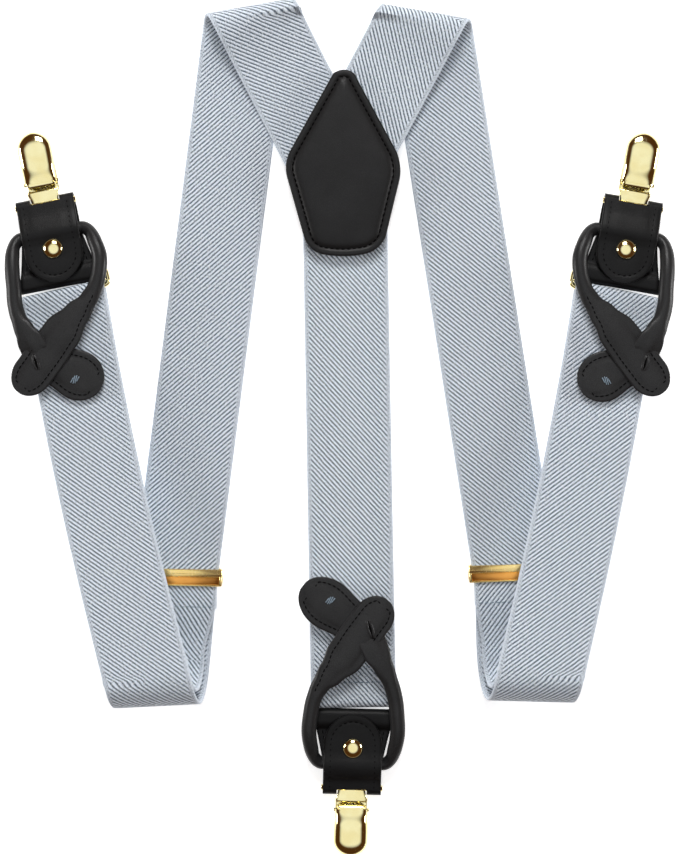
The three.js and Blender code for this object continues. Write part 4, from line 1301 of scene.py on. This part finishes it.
# ---------- gilt clip ----------
def make_clip(end):
    base = Solid()
    thin = edge_columns(8, 3, 0.06)

    def plate(row, u, side):
        y = mix(end.pin - 3.2, end.tip - 0.6, row)
        tip = math.sqrt(max(0.01, 1 - max(0.0, (row - 0.7) / 0.3) ** 2))
        return Vector((u * (CLIP_HALF - 0.3) * tip, y, 2.1 + side * 0.4))

    def neck(row, u, side):
        y = mix(end.bar, end.pin - 2.4, row)
        drop = smooth(row, 0.82, 0.97)
        half = mix(5.7, 6.6, smooth(row, 0.2, 0.8))
        crown = 0.5 * (1 - u * u)
        return Vector((u * half, y, mix(END_Z - 0.2, 2.1, drop) + side * 0.5 + crown))

    round_end = [mix(0.7, 0.998, math.sin(a)) for a in steps(0, PI / 2, 14)[1:]]
    base.slab(steps(0, 0.7, 14) + round_end, thin, plate)
    base.slab(steps(0, 1, 36), thin, neck)
    base.rod((-12.6, end.bar, END_Z), (12.6, end.bar, END_Z), BAR_R)
    for sign in (-1, 1):
        ear = []
        outline = [(-1.7, 1.8), (-1.8, 4.0), (-1.65, PIN_Z + 0.4), (-1.1, PIN_Z + 0.95), (0, PIN_Z + 1.05),
                   (1.0, PIN_Z + 0.95), (1.6, PIN_Z + 0.6), (1.7, 4.0), (1.7, 1.8)]
        for x in (5.05, 5.15, 5.5, 5.6):
            pull = 0.1 if x in (5.05, 5.6) else 0.0
            ear.append([(sign * x, end.pin + y * (1 - pull), z - pull * 0.5) for y, z in outline])
        base.rings(ear)
    base.moved(end.place)
    piece = base.finish(f"clip_back_{end.name}", gold, "root", "gold", 45)
    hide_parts(f"clip_base_{end.name}")

    lever = Solid()
    shell = [(math.sin(a), math.cos(a)) for a in steps(-PI / 2 * 0.985, PI / 2 * 0.985, 26)]

    def cover(row, skin):
        y = mix(end.pin - 0.4, end.tip, row)
        tip = math.sqrt(max(0.0016, 1 - max(0.0, (row - 0.66) / 0.34) ** 2))
        waist = mix(0.95, 1, smooth(row, 0.1, 0.5))
        half = max(0.1, (CLIP_HALF + 0.2) * tip * waist - skin)
        rise = max(0.05, mix(2.7, 4.2, smooth(row, 0, 0.35)) * mix(0.55, 1, tip) - skin * 0.9)
        ring = []
        for s, c in shell:
            flat = abs(c) ** 0.52
            x = half * math.copysign(abs(s) ** 0.85, s)
            ring.append(Vector((x, y - skin * 0.4 * row, 6.2 + rise * flat - 1.1 * (1 - tip))))
        return ring

    rows = steps(0, 0.66, 16) + [mix(0.66, 0.9985, math.sin(a)) for a in steps(0, PI / 2, 18)[1:]]
    outer = [cover(r, 0.0) for r in rows]
    inner = [cover(r, 0.75) for r in rows]
    rings = [o + list(reversed(i)) for o, i in zip(outer, inner)]
    lever.rings(rings)
    for sign in (-1, 1):
        lug = []
        outline = [(-1.3, -0.6), (-0.9, 0.9), (0, 1.3), (1.2, 1.3), (2.6, 1.3), (2.6, -0.9), (1.2, -1.2),
                   (-0.6, -1.2)]
        for x in (4.2, 4.9):
            lug.append([(sign * x, end.pin + y, PIN_Z + z) for y, z in outline])
        lever.rings(lug)
    lip = [(-2.0, 1.75), (-1.9, 2.05), (-1.4, 2.35), (-0.2, 2.55), (0.3, 2.3), (-0.4, 2.05), (-1.2, 1.9)]
    lever.rings([[(x, end.pin + y, PIN_Z + z) for y, z in lip] for x in (-4.9, -4.8, -3, 0, 3, 4.8, 4.9)])
    lever.moved(end.place)
    piece = lever.finish(f"clip_cover_{end.name}", gold, f"lever_{end.name}", "gold", 45)
    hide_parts(f"clip_lever_{end.name}")

    pin = Solid()
    pin.rod((-7.2, end.pin, PIN_Z), (7.2, end.pin, PIN_Z), PIN_R)
    pin.moved(end.place)
    piece = pin.finish(f"pin_{end.name}", gold, "root", "gold", 45)
    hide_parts(f"hinge_pin_{end.name}")

    spring = Solid()
    turns, wire = 3.5, 0.32
    radius = PIN_R + 0.25 + wire
    coil = []
    for k in range(97):
        angle = 2 * PI * turns * k / 96
        y, z = end.pin + radius * math.cos(angle), PIN_Z + radius * math.sin(angle)
        coil.append(Vector((-2.1 + 4.2 * k / 96, y, z)))
    spring.tube(coil, wire, 8)
    spring.moved(end.place)
    piece = spring.finish(f"coil_{end.name}", steel, "root", "spring_steel", 60)
    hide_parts(f"clip_spring_{end.name}")


def dress_node(node, material, bevel):
    """A CAD node that stays as it is, with softened edges and its own finish."""
    piece = frame["nodes"][node]
    piece.data.materials.clear()
    piece.data.materials.append(material)
    soft = piece.modifiers.new("softened edges", "BEVEL")
    soft.width = bevel * MM
    soft.segments = 2
    soft.limit_method = "ANGLE"


ENDS = [
    End("left", 1, -14, 0.88, 37.4, 27),
    End("right", -1, -14, 0.88, 37.4, 27),
    End("back", 1, 0.6, 1.0, 35.2, 25),
]
for end in ENDS:
    make_ring(end)
    make_holder(end)
    make_tab(end)
    make_flap(end)
    make_loop(end)
    make_clip(end)
    dress_node(f"clip_jaw_{end.name}", gold, 0.12)
    dress_node(f"snap_stud_{end.name}", gold, 0.05)
    dress_node(f"grip_pad_{end.name}", rubber, 0.1)


# ---------- floor, light and camera ----------
def make_floor():
    bm = bmesh.new()
    bmesh.ops.create_grid(bm, x_segments=2, y_segments=2, size=3.0)
    data = bpy.data.meshes.new("floor")
    bm.to_mesh(data)
    bm.free()
    floor = bpy.data.objects.new("floor", data)
    floor.location.z = -0.0003
    bpy.context.scene.collection.objects.link(floor)
    material, net, shader = new_material("pale floor", Roughness=0.9)
    shader.inputs["Specular IOR Level"].default_value = 0.1
    shader.inputs["Emission Color"].default_value = (1, 1, 1, 1)
    shader.inputs["Emission Strength"].default_value = 0.6
    place = net.node("ShaderNodeTexCoord")
    mottle = net.noise(place.outputs["Object"], 6.0, 2.0)
    net.put(net.blend(mottle, (0.93, 0.93, 0.93, 1), (0.95, 0.95, 0.95, 1)), shader.inputs["Base Color"])
    data.materials.append(material)


def make_light(name, place, target, size, power, size_y=None):
    light = bpy.data.lights.new(name, "AREA")
    light.shape = "RECTANGLE"
    light.size, light.size_y = size, size_y or size
    light.energy = power
    lamp = bpy.data.objects.new(name, light)
    lamp.location = place
    lamp.rotation_euler = (Vector(target) - Vector(place)).to_track_quat("-Z", "Y").to_euler()
    bpy.context.scene.collection.objects.link(lamp)


make_floor()
make_light("top key", (0.0, 1.15, 1.05), (0, 0, 0), 0.55, 14.5)
make_light("left fill", (-1.3, 0.15, 0.36), (0, 0, 0), 0.4, 9.0)
make_light("right fill", (1.3, 0.15, 0.36), (0, 0, 0), 0.4, 9.0)


def make_world():
    """A soft studio room: a pale ceiling, dim warm walls and a faint pale horizon."""
    world = bpy.data.worlds.new("studio")
    bpy.context.scene.world = world
    world.use_nodes = True
    net = Net(world.node_tree)
    place = net.node("ShaderNodeTexCoord")
    split = net.node("ShaderNodeSeparateXYZ")
    net.put(place.outputs["Generated"], split.inputs[0])
    ceiling = net.ramp(split.outputs[2], 0.8, 0.93)
    horizon = net.ramp(split.outputs[2], 0.05, 0.35, 1.0, 0.0)
    level = net.math("ADD", net.math("MULTIPLY", ceiling, 0.95), net.math("MULTIPLY", horizon, 0.2))
    background = world.node_tree.nodes["Background"]
    tint = net.blend(net.ramp(level, 0.0, 0.25), (1.0, 0.42, 0.12, 1), (0.95, 0.97, 1.0, 1))
    net.put(tint, background.inputs[0])
    net.put(net.math("ADD", level, 0.07), background.inputs[1])


make_world()

CAMERA_HEIGHT, VIEW_HEIGHT = 0.9, 0.3544
camera_data = bpy.data.cameras.new("camera")
camera = bpy.data.objects.new("camera", camera_data)
camera_data.sensor_width = 36.0
camera_data.lens = 36.0 * CAMERA_HEIGHT / VIEW_HEIGHT
camera_data.clip_start, camera_data.clip_end = 0.01, 20.0
camera.location = (0.0, 0.0, CAMERA_HEIGHT)
bpy.context.scene.collection.objects.link(camera)
bpy.context.scene.camera = camera
bpy.context.scene.view_settings.view_transform = "Standard"

bpy.context.view_layer.update()
